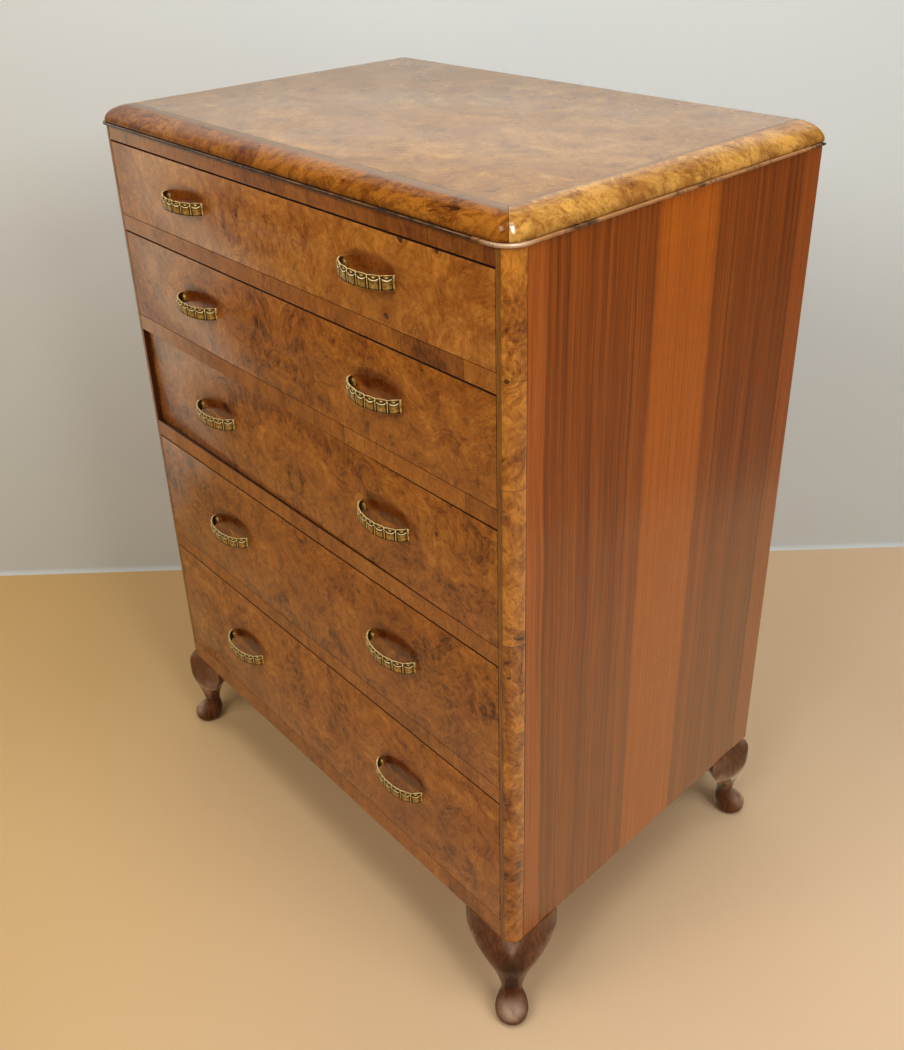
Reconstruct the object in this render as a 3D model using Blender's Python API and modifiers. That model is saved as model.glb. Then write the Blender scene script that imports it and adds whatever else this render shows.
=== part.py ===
"""Chest of five graduated drawers on cabriole legs. Metres, +Z up, front facing -Y.

The origin is at the middle of the bounding box's base. Heights marked "case" are measured from the
underside of the case, which stands LEG_H above the floor.
"""

import math

import bmesh
import bpy
from mathutils import Vector

# ---------------------------------------------------------------- driving dimensions
GAP = 0.0003                 # left between glued or resting pieces
LEG_H = 0.144                # floor to the underside of the case
FRONT_Y = -0.24454           # the plane of the drawer fronts
CASE_D = 0.4985              # front plane to the back of the side panels
SIDE_X = 0.3794              # centre to the outer face of a side panel
SIDE_T = 0.0180
OPEN_X = 0.3600              # centre to the inner edge of a corner post
POST_D = 0.0203              # depth of a corner post
POST_R = 0.0170              # radius of its quarter-round corner
CASE_TOP = 0.8875            # underside of the top board (case)

# opening of each drawer, lower and upper edge (case), top drawer first
OPENINGS = (
    (0.7667, 0.8680),
    (0.6200, 0.7449),
    (0.4501, 0.5974),
    (0.2498, 0.4259),
    (0.0300, 0.2267),
)

# top board and its edge moulding
LIP_T = 0.0035               # the thin lip that shows under the moulding
TOP_T = 0.0240               # lip and moulding together
LIP_X = 0.3826               # centre to the lip's outer edge
LIP_FRONT = 0.0062           # the lip's overhang in front of the drawer fronts
TOP_BACK = 0.4995            # front plane to the back edge of the top
CORNER_R = 0.0260            # plan radius of the front corners
MOULD_X = 0.3420             # centre to the side moulding's inner edge
MOULD_Y = 0.0345             # front plane to the front moulding's inner edge
MOULD_SET = 0.0024           # how far the moulding stands back from the lip
MOULD_FLAT = 0.05            # the share of the moulding's width that is flat
MOULD_POWER = 1.95           # of its curve: 2 would be a quarter ellipse

# rails, frames and boards
RAIL_T = 0.0200
DIVIDER_D = 0.0450
FRAME_T = 0.0180
FRAME_W = 0.0400
FRAME_END = 0.4920
BACK_T = 0.0050
BACK_SET = 0.0005
BOTTOM_T = 0.0180

# drawers
FRONT_T = 0.0200
GAP_TOP = 0.0022             # open gap over a drawer front
GAP_SIDE = 0.0008
GAP_BELOW = 0.0004
BOX_X = 0.3552               # centre to the outer face of a drawer side
BOX_T = 0.0110
BOX_END = 0.4780
SIDE_DROP = 0.0080           # the drawer side's top edge below the opening's
TAIL = 0.0120                # length of a dovetail
TAIL_SLOPE = 1 / 6
GROOVE_UP = 0.0080
GROOVE_D = 0.0050
PLY_T = 0.0040
BACK_BOARD_T = 0.0100
TAILS = (3, 4, 4, 5, 5)      # dovetails on each drawer, top first
SKEW_DRAWER = 2              # the third drawer stands a little askew
SKEW = math.radians(-0.44)

# handles
HANDLE_X = 0.1795            # centre of the chest to the centre of a handle
HANDLE_A = 0.0433            # half its width, to the outer face of the band
HANDLE_S = 0.0225            # how far it stands out
BAND_T = 0.0032
BAND_H = 0.0160
STUD_X = 0.0381
HANDLE_UP = 0.0013           # its centre above the middle of the drawer
STUD_R = 0.0020
NUT_R = 0.0050


# ---------------------------------------------------------------- start from an empty scene
for old in list(bpy.data.objects):
    bpy.data.objects.remove(old, do_unlink=True)
for old in list(bpy.data.collections):
    bpy.data.collections.remove(old)

PARTS = bpy.data.collections.new("chest_of_drawers")
CUTTERS = bpy.data.collections.new("cutters")
bpy.context.scene.collection.children.link(PARTS)
bpy.context.scene.collection.children.link(CUTTERS)


def material(name, colour, roughness, metallic=0.0):
    made = bpy.data.materials.new(name)
    made.use_nodes = True
    shader = made.node_tree.nodes["Principled BSDF"]
    shader.inputs["Base Color"].default_value = (*colour, 1.0)
    shader.inputs["Roughness"].default_value = roughness
    shader.inputs["Metallic"].default_value = metallic
    made.diffuse_color = (*colour, 1.0)
    return made


BURR = material("burr_walnut", (0.30, 0.125, 0.032), 0.28)
EDGE = material("burr_walnut_edge", (0.42, 0.19, 0.045), 0.22)
CROSS = material("crossbanded_walnut", (0.21, 0.088, 0.030), 0.32)
STRAIGHT = material("straight_walnut", (0.26, 0.092, 0.035), 0.32)
DARK = material("leg_walnut", (0.075, 0.026, 0.014), 0.22)
PLAIN = material("drawer_stock", (0.46, 0.30, 0.16), 0.55)
PLY = material("thin_board", (0.40, 0.26, 0.15), 0.65)
BRASS = material("antique_brass", (0.42, 0.31, 0.14), 0.36, 1.0)


# ---------------------------------------------------------------- helpers
def place(obj, collection=PARTS):
    for other in list(obj.users_collection):
        other.objects.unlink(obj)
    collection.objects.link(obj)
    return obj


def adopt(obj, mat=None, parent=None, cutter=False):
    """Puts a new object in its collection, under its parent, with its material."""
    place(obj, CUTTERS if cutter else PARTS)
    if cutter:
        obj.hide_render = True
        obj.display_type = "WIRE"
    if mat is not None:
        obj.data.materials.clear()
        obj.data.materials.append(mat)
    if parent is not None:
        obj.parent = parent
    return obj


def box(name, low, high, mat=None, parent=None, cutter=False):
    """A board between two corners. Its origin is its centre."""
    low, high = Vector(low), Vector(high)
    mesh = bpy.data.meshes.new(name)
    work = bmesh.new()
    bmesh.ops.create_cube(work, size=1.0)
    bmesh.ops.scale(work, vec=high - low, verts=work.verts)
    work.to_mesh(mesh)
    work.free()
    obj = bpy.data.objects.new(name, mesh)
    obj.location = (low + high) / 2
    return adopt(obj, mat, parent, cutter)


def baked(obj, name):
    """The evaluated mesh of an object, welded, as new mesh data."""
    bpy.context.view_layer.update()
    graph = bpy.context.evaluated_depsgraph_get()
    mesh = bpy.data.meshes.new_from_object(obj.evaluated_get(graph))
    mesh.name = name
    work = bmesh.new()
    work.from_mesh(mesh)
    bmesh.ops.remove_doubles(work, verts=work.verts, dist=1e-6)
    bmesh.ops.recalc_face_normals(work, faces=work.faces)
    work.to_mesh(mesh)
    work.free()
    return mesh


TURNS = {
    "Z": (0.0, 0.0, 0.0),                        # outline in x, y
    "X": (math.pi / 2, 0.0, math.pi / 2),        # outline in y, z
    "Y": (math.pi / 2, 0.0, 0.0),                # outline in x, z
}


def outline(name, points, along, low, high, mat=None, parent=None, cutter=False):
    """A flat outline, drawn as a 2D curve and given its thickness along one axis from low to high."""
    curve = bpy.data.curves.new(name, "CURVE")
    curve.dimensions = "2D"
    curve.fill_mode = "BOTH"
    curve.extrude = (high - low) / 2
    spline = curve.splines.new("POLY")
    spline.points.add(len(points) - 1)
    for point, (u, v) in zip(spline.points, points):
        point.co = (u, v, 0.0, 1.0)
    spline.use_cyclic_u = True
    drawn = bpy.data.objects.new(name + "_outline", curve)
    drawn.rotation_euler = TURNS[along]
    middle = (low + high) / 2
    drawn.location = {"X": (middle, 0, 0), "Y": (0, middle, 0), "Z": (0, 0, middle)}[along]
    bpy.context.scene.collection.objects.link(drawn)
    mesh = baked(drawn, name)
    obj = bpy.data.objects.new(name, mesh)
    obj.rotation_euler = drawn.rotation_euler
    obj.location = drawn.location
    bpy.data.objects.remove(drawn, do_unlink=True)
    bpy.data.curves.remove(curve)
    return adopt(obj, mat, parent, cutter)


def loft(name, loops, mat=None, parent=None, cutter=False):
    """A skin through closed loops of equal length, capped at both ends."""
    mesh = bpy.data.meshes.new(name)
    work = bmesh.new()
    rings = [[work.verts.new(point) for point in loop] for loop in loops]
    count = len(loops[0])
    for first, second in zip(rings, rings[1:]):
        for i in range(count):
            j = (i + 1) % count
            work.faces.new((first[i], first[j], second[j], second[i]))
    work.faces.new(list(reversed(rings[0])))
    work.faces.new(rings[-1])
    bmesh.ops.recalc_face_normals(work, faces=work.faces)
    if work.calc_volume(signed=True) < 0:
        bmesh.ops.reverse_faces(work, faces=work.faces)
    work.to_mesh(mesh)
    work.free()
    return adopt(bpy.data.objects.new(name, mesh), mat, parent, cutter)


def boolean(obj, other, operation="DIFFERENCE"):
    mod = obj.modifiers.new(operation.lower(), "BOOLEAN")
    mod.operation = operation
    mod.solver = "EXACT"
    mod.object = other
    return mod


def smooth(mesh, degrees=35.0):
    mesh.shade_smooth()
    mesh.set_sharp_from_angle(angle=math.radians(degrees))


def arc(cx, cy, radius, start, end, steps):
    """Points on an arc, angles in degrees."""
    return [
        (
            cx + radius * math.cos(math.radians(start + (end - start) * i / steps)),
            cy + radius * math.sin(math.radians(start + (end - start) * i / steps)),
        )
        for i in range(steps + 1)
    ]


def empty(name, location, turn=0.0):
    holder = bpy.data.objects.new(name, None)
    holder.location = location
    holder.rotation_euler = (0, 0, turn)
    holder.empty_display_size = 0.05
    PARTS.objects.link(holder)
    return holder


# ---------------------------------------------------------------- the case
CASE = empty("case", (0.0, FRONT_Y, LEG_H))
BACK_IN = CASE_D - BACK_SET - BACK_T       # front face of the back panel

for side, s in (("left", -1), ("right", 1)):
    # side panel: plan outline with a rebate at the back for the back panel
    plan = [
        (s * (SIDE_X - SIDE_T), POST_D + GAP),
        (s * SIDE_X, POST_D + GAP),
        (s * SIDE_X, CASE_D),
        (s * (SIDE_X - SIDE_T / 2), CASE_D),
        (s * (SIDE_X - SIDE_T / 2), BACK_IN - GAP),
        (s * (SIDE_X - SIDE_T), BACK_IN - GAP),
    ]
    outline("side_panel_" + side, plan, "Z", 0.0, CASE_TOP - GAP, STRAIGHT, CASE)

    # corner post: a square of solid wood with its outer corner turned to a quarter round
    flat = SIDE_X - OPEN_X - POST_R
    round_off = arc(OPEN_X + flat, POST_R, POST_R, -90, 0, 8)
    plan = [(s * x, y) for x, y in [(OPEN_X, POST_D), (OPEN_X, 0.0)] + round_off + [(SIDE_X, POST_D)]]
    post = outline("corner_post_" + side, plan, "Z", 0.0, CASE_TOP - GAP, BURR, CASE)
    smooth(post.data)

box("top_rail", (-OPEN_X + GAP, 0, OPENINGS[0][1]), (OPEN_X - GAP, RAIL_T, CASE_TOP - GAP), CROSS, CASE)
box("bottom_rail", (-OPEN_X + GAP, 0, 0), (OPEN_X - GAP, RAIL_T, OPENINGS[4][0]), CROSS, CASE)
for i in range(4):
    low, high = OPENINGS[i + 1][1], OPENINGS[i][0]
    box(
        "divider_rail_%d" % (i + 1),
        (-OPEN_X + GAP, 0, low),
        (OPEN_X - GAP, DIVIDER_D, high),
        CROSS,
        CASE,
    )

IN_X = SIDE_X - SIDE_T - GAP               # inside the side panels


def u_frame(start):
    """Plan of two runners joined by a rear rail."""
    inner = IN_X - FRAME_W
    return [
        (-IN_X, start),
        (-inner, start),
        (-inner, FRAME_END - FRAME_W),
        (inner, FRAME_END - FRAME_W),
        (inner, start),
        (IN_X, start),
        (IN_X, FRAME_END),
        (-IN_X, FRAME_END),
    ]


for i in range(4):
    high = OPENINGS[i][0]
    outline(
        "runner_frame_%d" % (i + 1),
        u_frame(DIVIDER_D + GAP),
        "Z",
        high - FRAME_T,
        high,
        PLAIN,
        CASE,
    )
outline(
    "kicker_frame",
    u_frame(POST_D + GAP),
    "Z",
    CASE_TOP - GAP - FRAME_T,
    CASE_TOP - GAP,
    PLAIN,
    CASE,
)
box(
    "bottom_board",
    (-IN_X, POST_D + GAP, OPENINGS[4][0] - BOTTOM_T),
    (IN_X, FRAME_END, OPENINGS[4][0]),
    PLAIN,
    CASE,
)
box(
    "back_panel",
    (-(SIDE_X - SIDE_T / 2 - GAP), BACK_IN, 0.0),
    (SIDE_X - SIDE_T / 2 - GAP, BACK_IN + BACK_T, CASE_TOP - GAP),
    PLY,
    CASE,
)

# ---------------------------------------------------------------- the top
# the board: a wide thin lip with rounded front corners, and the raised field that carries the burr
plan = (
    [(-LIP_X, TOP_BACK)]
    + arc(-LIP_X + CORNER_R, -LIP_FRONT + CORNER_R, CORNER_R, 180, 270, 6)
    + arc(LIP_X - CORNER_R, -LIP_FRONT + CORNER_R, CORNER_R, 270, 360, 6)
    + [(LIP_X, TOP_BACK)]
)
top_panel = outline("top_panel", plan, "Z", CASE_TOP, CASE_TOP + LIP_T, BURR, CASE)
field = box(
    "top_field",
    (-MOULD_X, MOULD_Y, CASE_TOP + 0.001),
    (MOULD_X, TOP_BACK, CASE_TOP + TOP_T),
    None,
    CASE,
    cutter=True,
)
boolean(top_panel, field, "UNION")


def moulding_profile(reach):
    """Section of the edge moulding, from its inner edge out to reach: (distance out, height)."""
    high = TOP_T - LIP_T - GAP
    flat = reach * MOULD_FLAT
    points = [(0.0, 0.0), (0.0, high), (flat, high)]
    steps = 9
    for i in range(1, steps + 1):
        t = math.radians(90 * i / steps)
        points.append(
            (
                flat + (reach - flat) * math.sin(t) ** (2 / MOULD_POWER),
                0.0016 + (high - 0.0016) * math.cos(t) ** (2 / MOULD_POWER),
            )
        )
    points.append((reach - 0.0004, 0.0))
    return points


MOULD_OUT_X = LIP_X - MOULD_SET            # outer line of the side mouldings
MOULD_OUT_Y = -LIP_FRONT + MOULD_SET       # outer line of the front moulding
MOULD_R = CORNER_R - MOULD_SET + 0.002
MOULD_LOW = CASE_TOP + LIP_T + GAP


def moulding_corner(s, part, steps=5):
    """Sections that fan round one half of a front corner. part is 0 for the front moulding and 1 for the side's.

    Every section starts at the inner corner. The first is square to the moulding, and the others run out to
    the start of the rounded outer line and along it to the mitre.
    """
    centre = Vector((MOULD_OUT_X - MOULD_R, MOULD_OUT_Y + MOULD_R))
    corner = Vector((MOULD_X + GAP, MOULD_Y - GAP))
    if part == 0:
        outers, begin = [Vector((corner.x, MOULD_OUT_Y))], 270
    else:
        outers, begin = [Vector((MOULD_OUT_X, corner.y))], 360
    for i in range(steps + 1):
        a = math.radians(begin + (315 - begin) * i / steps)
        outers.append(centre + MOULD_R * Vector((math.cos(a), math.sin(a))))
    # the two halves keep a hair's gap at the mitre
    nudge = Vector((-1, -1)).normalized() * GAP * (0.5 if part == 0 else -0.5)
    loops = []
    for i, outer in enumerate(outers):
        inner = corner.copy()
        if i == len(outers) - 1:
            inner, outer = inner + nudge, outer + nudge
        elif i == 0:
            shift = Vector((nudge.x, 0)) if part == 0 else Vector((0, nudge.y))
            inner, outer = inner + 2 * shift, outer + 2 * shift
        else:
            inner = inner + nudge
        reach = (outer - inner).length
        direction = (outer - inner).normalized()
        loops.append(
            [
                (s * (inner.x + direction.x * d), inner.y + direction.y * d, MOULD_LOW + h)
                for d, h in moulding_profile(reach)
            ]
        )
    return loops


right_half = moulding_corner(1, 0)
left_half = moulding_corner(-1, 0)
loft("top_moulding_front", list(reversed(left_half)) + right_half, EDGE, CASE)
for side, s in (("left", -1), ("right", 1)):
    corner_loops = moulding_corner(s, 1)
    reach = MOULD_OUT_X - MOULD_X - GAP
    back_loop = [
        (s * (MOULD_X + GAP + d), TOP_BACK, MOULD_LOW + h) for d, h in moulding_profile(reach)
    ]
    loft("top_moulding_" + side, [back_loop] + corner_loops, EDGE, CASE)
for name in ("top_moulding_front", "top_moulding_left", "top_moulding_right"):
    smooth(bpy.data.objects[name].data, 40)


# ---------------------------------------------------------------- legs
# depth below the case; outward reach on the diagonal, inward reach and place of the greatest width; half
# that width; and squareness
LEG_SECTIONS = (
    (0.0000, -0.0040, -0.0880, -0.0580, 0.0575, 1.12),
    (0.0100, 0.0028, -0.0840, -0.0580, 0.0578, 1.14),
    (0.0240, 0.0080, -0.0750, -0.0545, 0.0570, 1.20),
    (0.0380, 0.0094, -0.0650, -0.0490, 0.0523, 1.30),
    (0.0510, 0.0062, -0.0570, -0.0420, 0.0422, 1.40),
    (0.0640, 0.0010, -0.0480, -0.0340, 0.0298, 1.52),
    (0.0780, -0.0043, -0.0410, -0.0270, 0.0205, 1.70),
    (0.0910, -0.0084, -0.0360, -0.0240, 0.0153, 1.90),
    (0.1000, -0.0106, -0.0342, -0.0230, 0.0134, 2.00),
    (0.1070, -0.0124, -0.0338, -0.0231, 0.0134, 2.00),
    (0.1120, -0.0104, -0.0345, -0.0225, 0.0145, 2.00),
    (0.1170, -0.0032, -0.0352, -0.0192, 0.0168, 2.00),
    (0.1230, 0.0056, -0.0356, -0.0150, 0.0198, 2.00),
    (0.1300, 0.0099, -0.0347, -0.0124, 0.0214, 2.00),
    (0.1360, 0.0093, -0.0330, -0.0120, 0.0207, 2.00),
    (0.1405, 0.0060, -0.0290, -0.0118, 0.0185, 2.00),
    (LEG_H, -0.0010, -0.0232, -0.0121, 0.0148, 2.00),
)
LEG_SIDES = 24
BLOCK = (0.0206, 0.0540)                   # the leg's square block, measured in from the case's corner


def leg_mesh():
    """The leg for a corner that points along +X, -Y, with its origin at that corner."""
    loops = []
    out = Vector((1, -1)).normalized()
    across = Vector((1, 1)).normalized()
    for depth, outer, inner, widest, half, power in LEG_SECTIONS:
        loop = []
        for i in range(LEG_SIDES):
            angle = 2 * math.pi * i / LEG_SIDES
            c, s = math.cos(angle), math.sin(angle)
            span = (outer - widest) if c >= 0 else (widest - inner)
            u = widest + span * math.copysign(abs(c) ** (2 / power), c)
            v = half * math.copysign(abs(s) ** (2 / power), s)
            spot = out * u + across * v
            loop.append((spot.x, spot.y, -GAP - depth * (LEG_H - GAP) / LEG_H))
        loops.append(loop)
    body = loft("leg_body", loops, None, None, cutter=True)
    low, high = BLOCK
    block = box(
        "leg_block",
        (-high, low, -0.012),
        (-low, high, OPENINGS[4][0] - BOTTOM_T - GAP),
        cutter=True,
    )
    boolean(body, block, "UNION")
    mesh = baked(body, "cabriole_leg")
    smooth(mesh, 50)
    bpy.data.objects.remove(body, do_unlink=True)
    bpy.data.objects.remove(block, do_unlink=True)
    return mesh


LEG_MESH = leg_mesh()
for name, x, y, turn in (
    ("leg_front_right", SIDE_X, 0.0, 0),
    ("leg_back_right", SIDE_X, CASE_D, 90),
    ("leg_back_left", -SIDE_X, CASE_D, 180),
    ("leg_front_left", -SIDE_X, 0.0, 270),
):
    leg = bpy.data.objects.new(name, LEG_MESH)
    leg.location = (x, y, 0)
    leg.rotation_euler = (0, 0, math.radians(turn))
    adopt(leg, DARK, CASE)


# ---------------------------------------------------------------- handles
def handle_mesh():
    """A bowed flat band on two round feet, each with a stud through the drawer front and a nut inside.

    The origin is on the drawer's face, in the middle of the handle, which stands out along -Y.
    """
    loops = []
    steps = 20
    h, e = BAND_H / 2, 0.0008
    for i in range(steps + 1):
        t = math.pi * i / steps
        outer = Vector((-HANDLE_A * math.cos(t), -HANDLE_S * math.sin(t)))
        normal = Vector((-math.cos(t) / HANDLE_A, -math.sin(t) / HANDLE_S)).normalized()
        inner = outer - normal * BAND_T
        if i in (0, steps):
            outer.y = inner.y = -GAP
        elif outer.y > -0.0012:
            outer.y = -0.0012
        section = []
        for spot, drift, z in (
            (outer, 1, -h + e), (outer, 1, h - e), (outer, 0, h), (inner, 0, h),
            (inner, -1, h - e), (inner, -1, -h + e), (inner, 0, -h), (outer, 0, -h),
        ):
            shift = {1: Vector((0, 0)), -1: Vector((0, 0)), 0: (inner - outer).normalized() * e}[drift]
            at = spot + (shift if spot is outer else -shift)
            section.append((at.x, at.y, z))
        loops.append(section)
    band = loft("handle_band", loops, cutter=True)
    profile = [
        (0.0, -0.0032),
        (0.0040, -0.0032),
        (0.0048, -0.0022),
        (0.0048, -GAP),
        (STUD_R, -GAP),
        (STUD_R, FRONT_T + GAP),
        (NUT_R, FRONT_T + GAP),
        (NUT_R, FRONT_T + GAP + 0.0022),
        (NUT_R - 0.0008, FRONT_T + GAP + 0.0030),
        (0.0, FRONT_T + GAP + 0.0030),
    ]
    studs = []
    for s in (-1, 1):
        # turned about local Z, whose top end is the face side, then laid along -Y
        mesh = bpy.data.meshes.new("stud")
        work = bmesh.new()
        row = [work.verts.new((r, 0.0, -y)) for r, y in profile]
        for a, b in zip(row, row[1:]):
            work.edges.new((a, b))
        work.to_mesh(mesh)
        work.free()
        stud = bpy.data.objects.new("stud", mesh)
        stud.rotation_euler = (math.pi / 2, 0, 0)
        stud.location = (s * STUD_X, 0, 0)
        adopt(stud, cutter=True)
        turn = stud.modifiers.new("turned", "SCREW")
        turn.steps = turn.render_steps = 12
        turn.use_merge_vertices = True
        turn.merge_threshold = 0.00001
        turned = bpy.data.objects.new("turned_stud", baked(stud, "turned_stud"))
        turned.rotation_euler = stud.rotation_euler
        turned.location = stud.location
        adopt(turned, cutter=True)
        bpy.data.objects.remove(stud, do_unlink=True)
        boolean(band, turned, "UNION")
        studs.append(turned)
    mesh = baked(band, "bow_handle")
    smooth(mesh, 50)
    for obj in [band] + studs:
        bpy.data.objects.remove(obj, do_unlink=True)
    return mesh


HANDLE_MESH = handle_mesh()


# ---------------------------------------------------------------- drawers
def tail_outline(start, low, high, count, grow=0.0):
    """Outlines of the dovetails on a board's front edge, each as four corners in y, z.

    start is the plane they grow from. grow enlarges them all round, for their sockets.
    """
    pitch = (high - low) / count
    found = []
    for i in range(count):
        middle = low + pitch * (i + 0.5)
        tip = pitch / 2 - 0.0040 + grow
        root = tip - TAIL * TAIL_SLOPE
        found.append(
            [
                (start, middle - root),
                (start - TAIL - grow, middle - tip),
                (start - TAIL - grow, middle + tip),
                (start, middle + root),
            ]
        )
    return found


for n, (low, high) in enumerate(OPENINGS):
    tag = "drawer_%d" % (n + 1)
    tall = high - low
    turn = SKEW if n == SKEW_DRAWER else 0.0
    back_off = (OPEN_X - GAP_SIDE) * math.sin(-turn)
    holder = empty(tag, (0.0, FRONT_Y + back_off, LEG_H + low), turn)

    side_low, side_high = GAP_BELOW, tall - SIDE_DROP
    groove_low = side_low + GROOVE_UP
    groove_high = groove_low + PLY_T + 2 * GAP
    in_x = BOX_X - BOX_T

    # front
    front = box(
        tag + "_front",
        (-OPEN_X + GAP_SIDE, 0.0, GAP_BELOW),
        (OPEN_X - GAP_SIDE, FRONT_T, tall - GAP_TOP),
        BURR,
        holder,
    )
    groove = box(
        tag + "_front_groove",
        (-in_x - GROOVE_D, FRONT_T - 0.006, groove_low),
        (in_x + GROOVE_D, FRONT_T + 0.002, groove_high),
        parent=holder,
        cutter=True,
    )
    boolean(front, groove)

    # sides, dovetailed into the back of the front
    for side, s in (("left", -1), ("right", 1)):
        xs = sorted((s * BOX_X, s * in_x))
        edge = FRONT_T + GAP
        shape = [(BOX_END, side_low), (BOX_END, side_high), (edge, side_high)]
        for four in reversed(tail_outline(edge, side_low, side_high, TAILS[n])):
            shape += list(reversed(four))
        shape.append((edge, side_low))
        board = outline(tag + "_side_" + side, shape, "X", xs[0], xs[1], PLAIN, holder)
        for k, four in enumerate(tail_outline(FRONT_T + 0.001, side_low, side_high, TAILS[n], GAP)):
            # the socket's mouth runs past the back face, and its end matches the tail's
            four = [(FRONT_T + GAP + 0.001, four[0][1]), (FRONT_T - TAIL, four[1][1]),
                    (FRONT_T - TAIL, four[2][1]), (FRONT_T + GAP + 0.001, four[3][1])]
            socket = outline(
                "%s_socket_%s_%d" % (tag, side, k), four, "X", xs[0] - GAP, xs[1] + GAP,
                parent=holder, cutter=True,
            )
            boolean(front, socket)
        slot_xs = sorted((s * (in_x - 0.002), s * (in_x + GROOVE_D)))
        slot = box(
            "%s_slot_%s" % (tag, side),
            (slot_xs[0], 0.0, groove_low),
            (slot_xs[1], BOX_END + 0.01, groove_high),
            parent=holder,
            cutter=True,
        )
        boolean(board, slot)

    # bottom in its grooves, and the back that stands on it
    box(
        tag + "_bottom",
        (-in_x - GROOVE_D + GAP, FRONT_T - 0.006 + GAP, groove_low + GAP),
        (in_x + GROOVE_D - GAP, BOX_END, groove_low + GAP + PLY_T),
        PLY,
        holder,
    )
    box(
        tag + "_back",
        (-in_x + GAP, BOX_END - BACK_BOARD_T, groove_high),
        (in_x - GAP, BOX_END, side_high - 0.006),
        PLAIN,
        holder,
    )

    # handles, with a hole in the front for each stud
    middle = tall / 2 + HANDLE_UP
    for side, s in (("left", -1), ("right", 1)):
        handle = bpy.data.objects.new("%s_handle_%s" % (tag, side), HANDLE_MESH)
        handle.location = (s * HANDLE_X, 0.0, middle)
        adopt(handle, BRASS, holder)
        for end, e in (("a", -1), ("b", 1)):
            mesh = bpy.data.meshes.new("hole")
            work = bmesh.new()
            bmesh.ops.create_cone(
                work, cap_ends=True, segments=12, radius1=STUD_R + GAP, radius2=STUD_R + GAP,
                depth=FRONT_T + 0.004,
            )
            work.to_mesh(mesh)
            work.free()
            hole = bpy.data.objects.new("%s_hole_%s_%s" % (tag, side, end), mesh)
            hole.rotation_euler = (math.pi / 2, 0, 0)
            hole.location = (s * HANDLE_X + e * STUD_X, FRONT_T / 2, middle)
            adopt(hole, parent=holder, cutter=True)
            boolean(front, hole)

bpy.context.view_layer.update()
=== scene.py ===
"""The looks of a chest of five drawers: finishes, fine shapes, light and camera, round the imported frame.

Metres, +Z up, front facing -Y. Every piece is modelled where it stands, except the handles, which share one
mesh. Heights marked "case" are measured from the underside of the case, LEG_H above the floor.
"""

import math

import bmesh
import bpy
import numpy as np
from mathutils import Matrix, Vector, noise


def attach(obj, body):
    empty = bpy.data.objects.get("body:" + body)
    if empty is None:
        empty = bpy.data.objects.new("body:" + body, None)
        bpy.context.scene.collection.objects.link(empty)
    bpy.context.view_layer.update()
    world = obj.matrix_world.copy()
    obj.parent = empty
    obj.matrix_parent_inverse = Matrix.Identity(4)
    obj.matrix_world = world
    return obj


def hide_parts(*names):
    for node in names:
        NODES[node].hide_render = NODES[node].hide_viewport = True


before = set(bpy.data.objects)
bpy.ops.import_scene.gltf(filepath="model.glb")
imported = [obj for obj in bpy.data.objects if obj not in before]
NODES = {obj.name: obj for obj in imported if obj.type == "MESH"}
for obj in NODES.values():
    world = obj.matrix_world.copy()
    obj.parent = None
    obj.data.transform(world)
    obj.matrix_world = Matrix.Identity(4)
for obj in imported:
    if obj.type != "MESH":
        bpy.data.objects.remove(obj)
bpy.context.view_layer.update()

# ---------------------------------------------------------------- the frame's dimensions
GAP = 0.0003
LEG_H = 0.144
FRONT_Y = -0.24454
CASE_D = 0.4985
SIDE_X = 0.3794
OPEN_X = 0.3600
POST_D = 0.0203
POST_R = 0.0170
CASE_TOP = 0.8875
OPENINGS = (
    (0.7667, 0.8680),
    (0.6200, 0.7449),
    (0.4501, 0.5974),
    (0.2498, 0.4259),
    (0.0300, 0.2267),
)
LIP_T = 0.0035
TOP_T = 0.0240
LIP_X = 0.3826
LIP_FRONT = 0.0062
TOP_BACK = 0.4995
CORNER_R = 0.0260
MOULD_X = 0.3420
MOULD_Y = 0.0345
MOULD_SET = 0.0024
MOULD_FLAT = 0.05
MOULD_POWER = 1.95
BOTTOM_T = 0.0180
FRONT_T = 0.0200
GAP_TOP = 0.0022
GAP_SIDE = 0.0008
GAP_BELOW = 0.0004
BOX_X = 0.3552
BOX_T = 0.0110
SIDE_DROP = 0.0080
TAIL = 0.0120
TAIL_SLOPE = 1 / 6
GROOVE_UP = 0.0080
GROOVE_D = 0.0050
PLY_T = 0.0040
TAILS = (3, 4, 4, 5, 5)
SKEW_DRAWER = 2
SKEW = math.radians(-0.44)
HANDLE_X = 0.1795
HANDLE_A = 0.0433
HANDLE_S = 0.0225
BAND_T = 0.0032
BAND_H = 0.0160
STUD_X = 0.0381
HANDLE_UP = 0.0013
STUD_R = 0.0020
NUT_R = 0.0050


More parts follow.
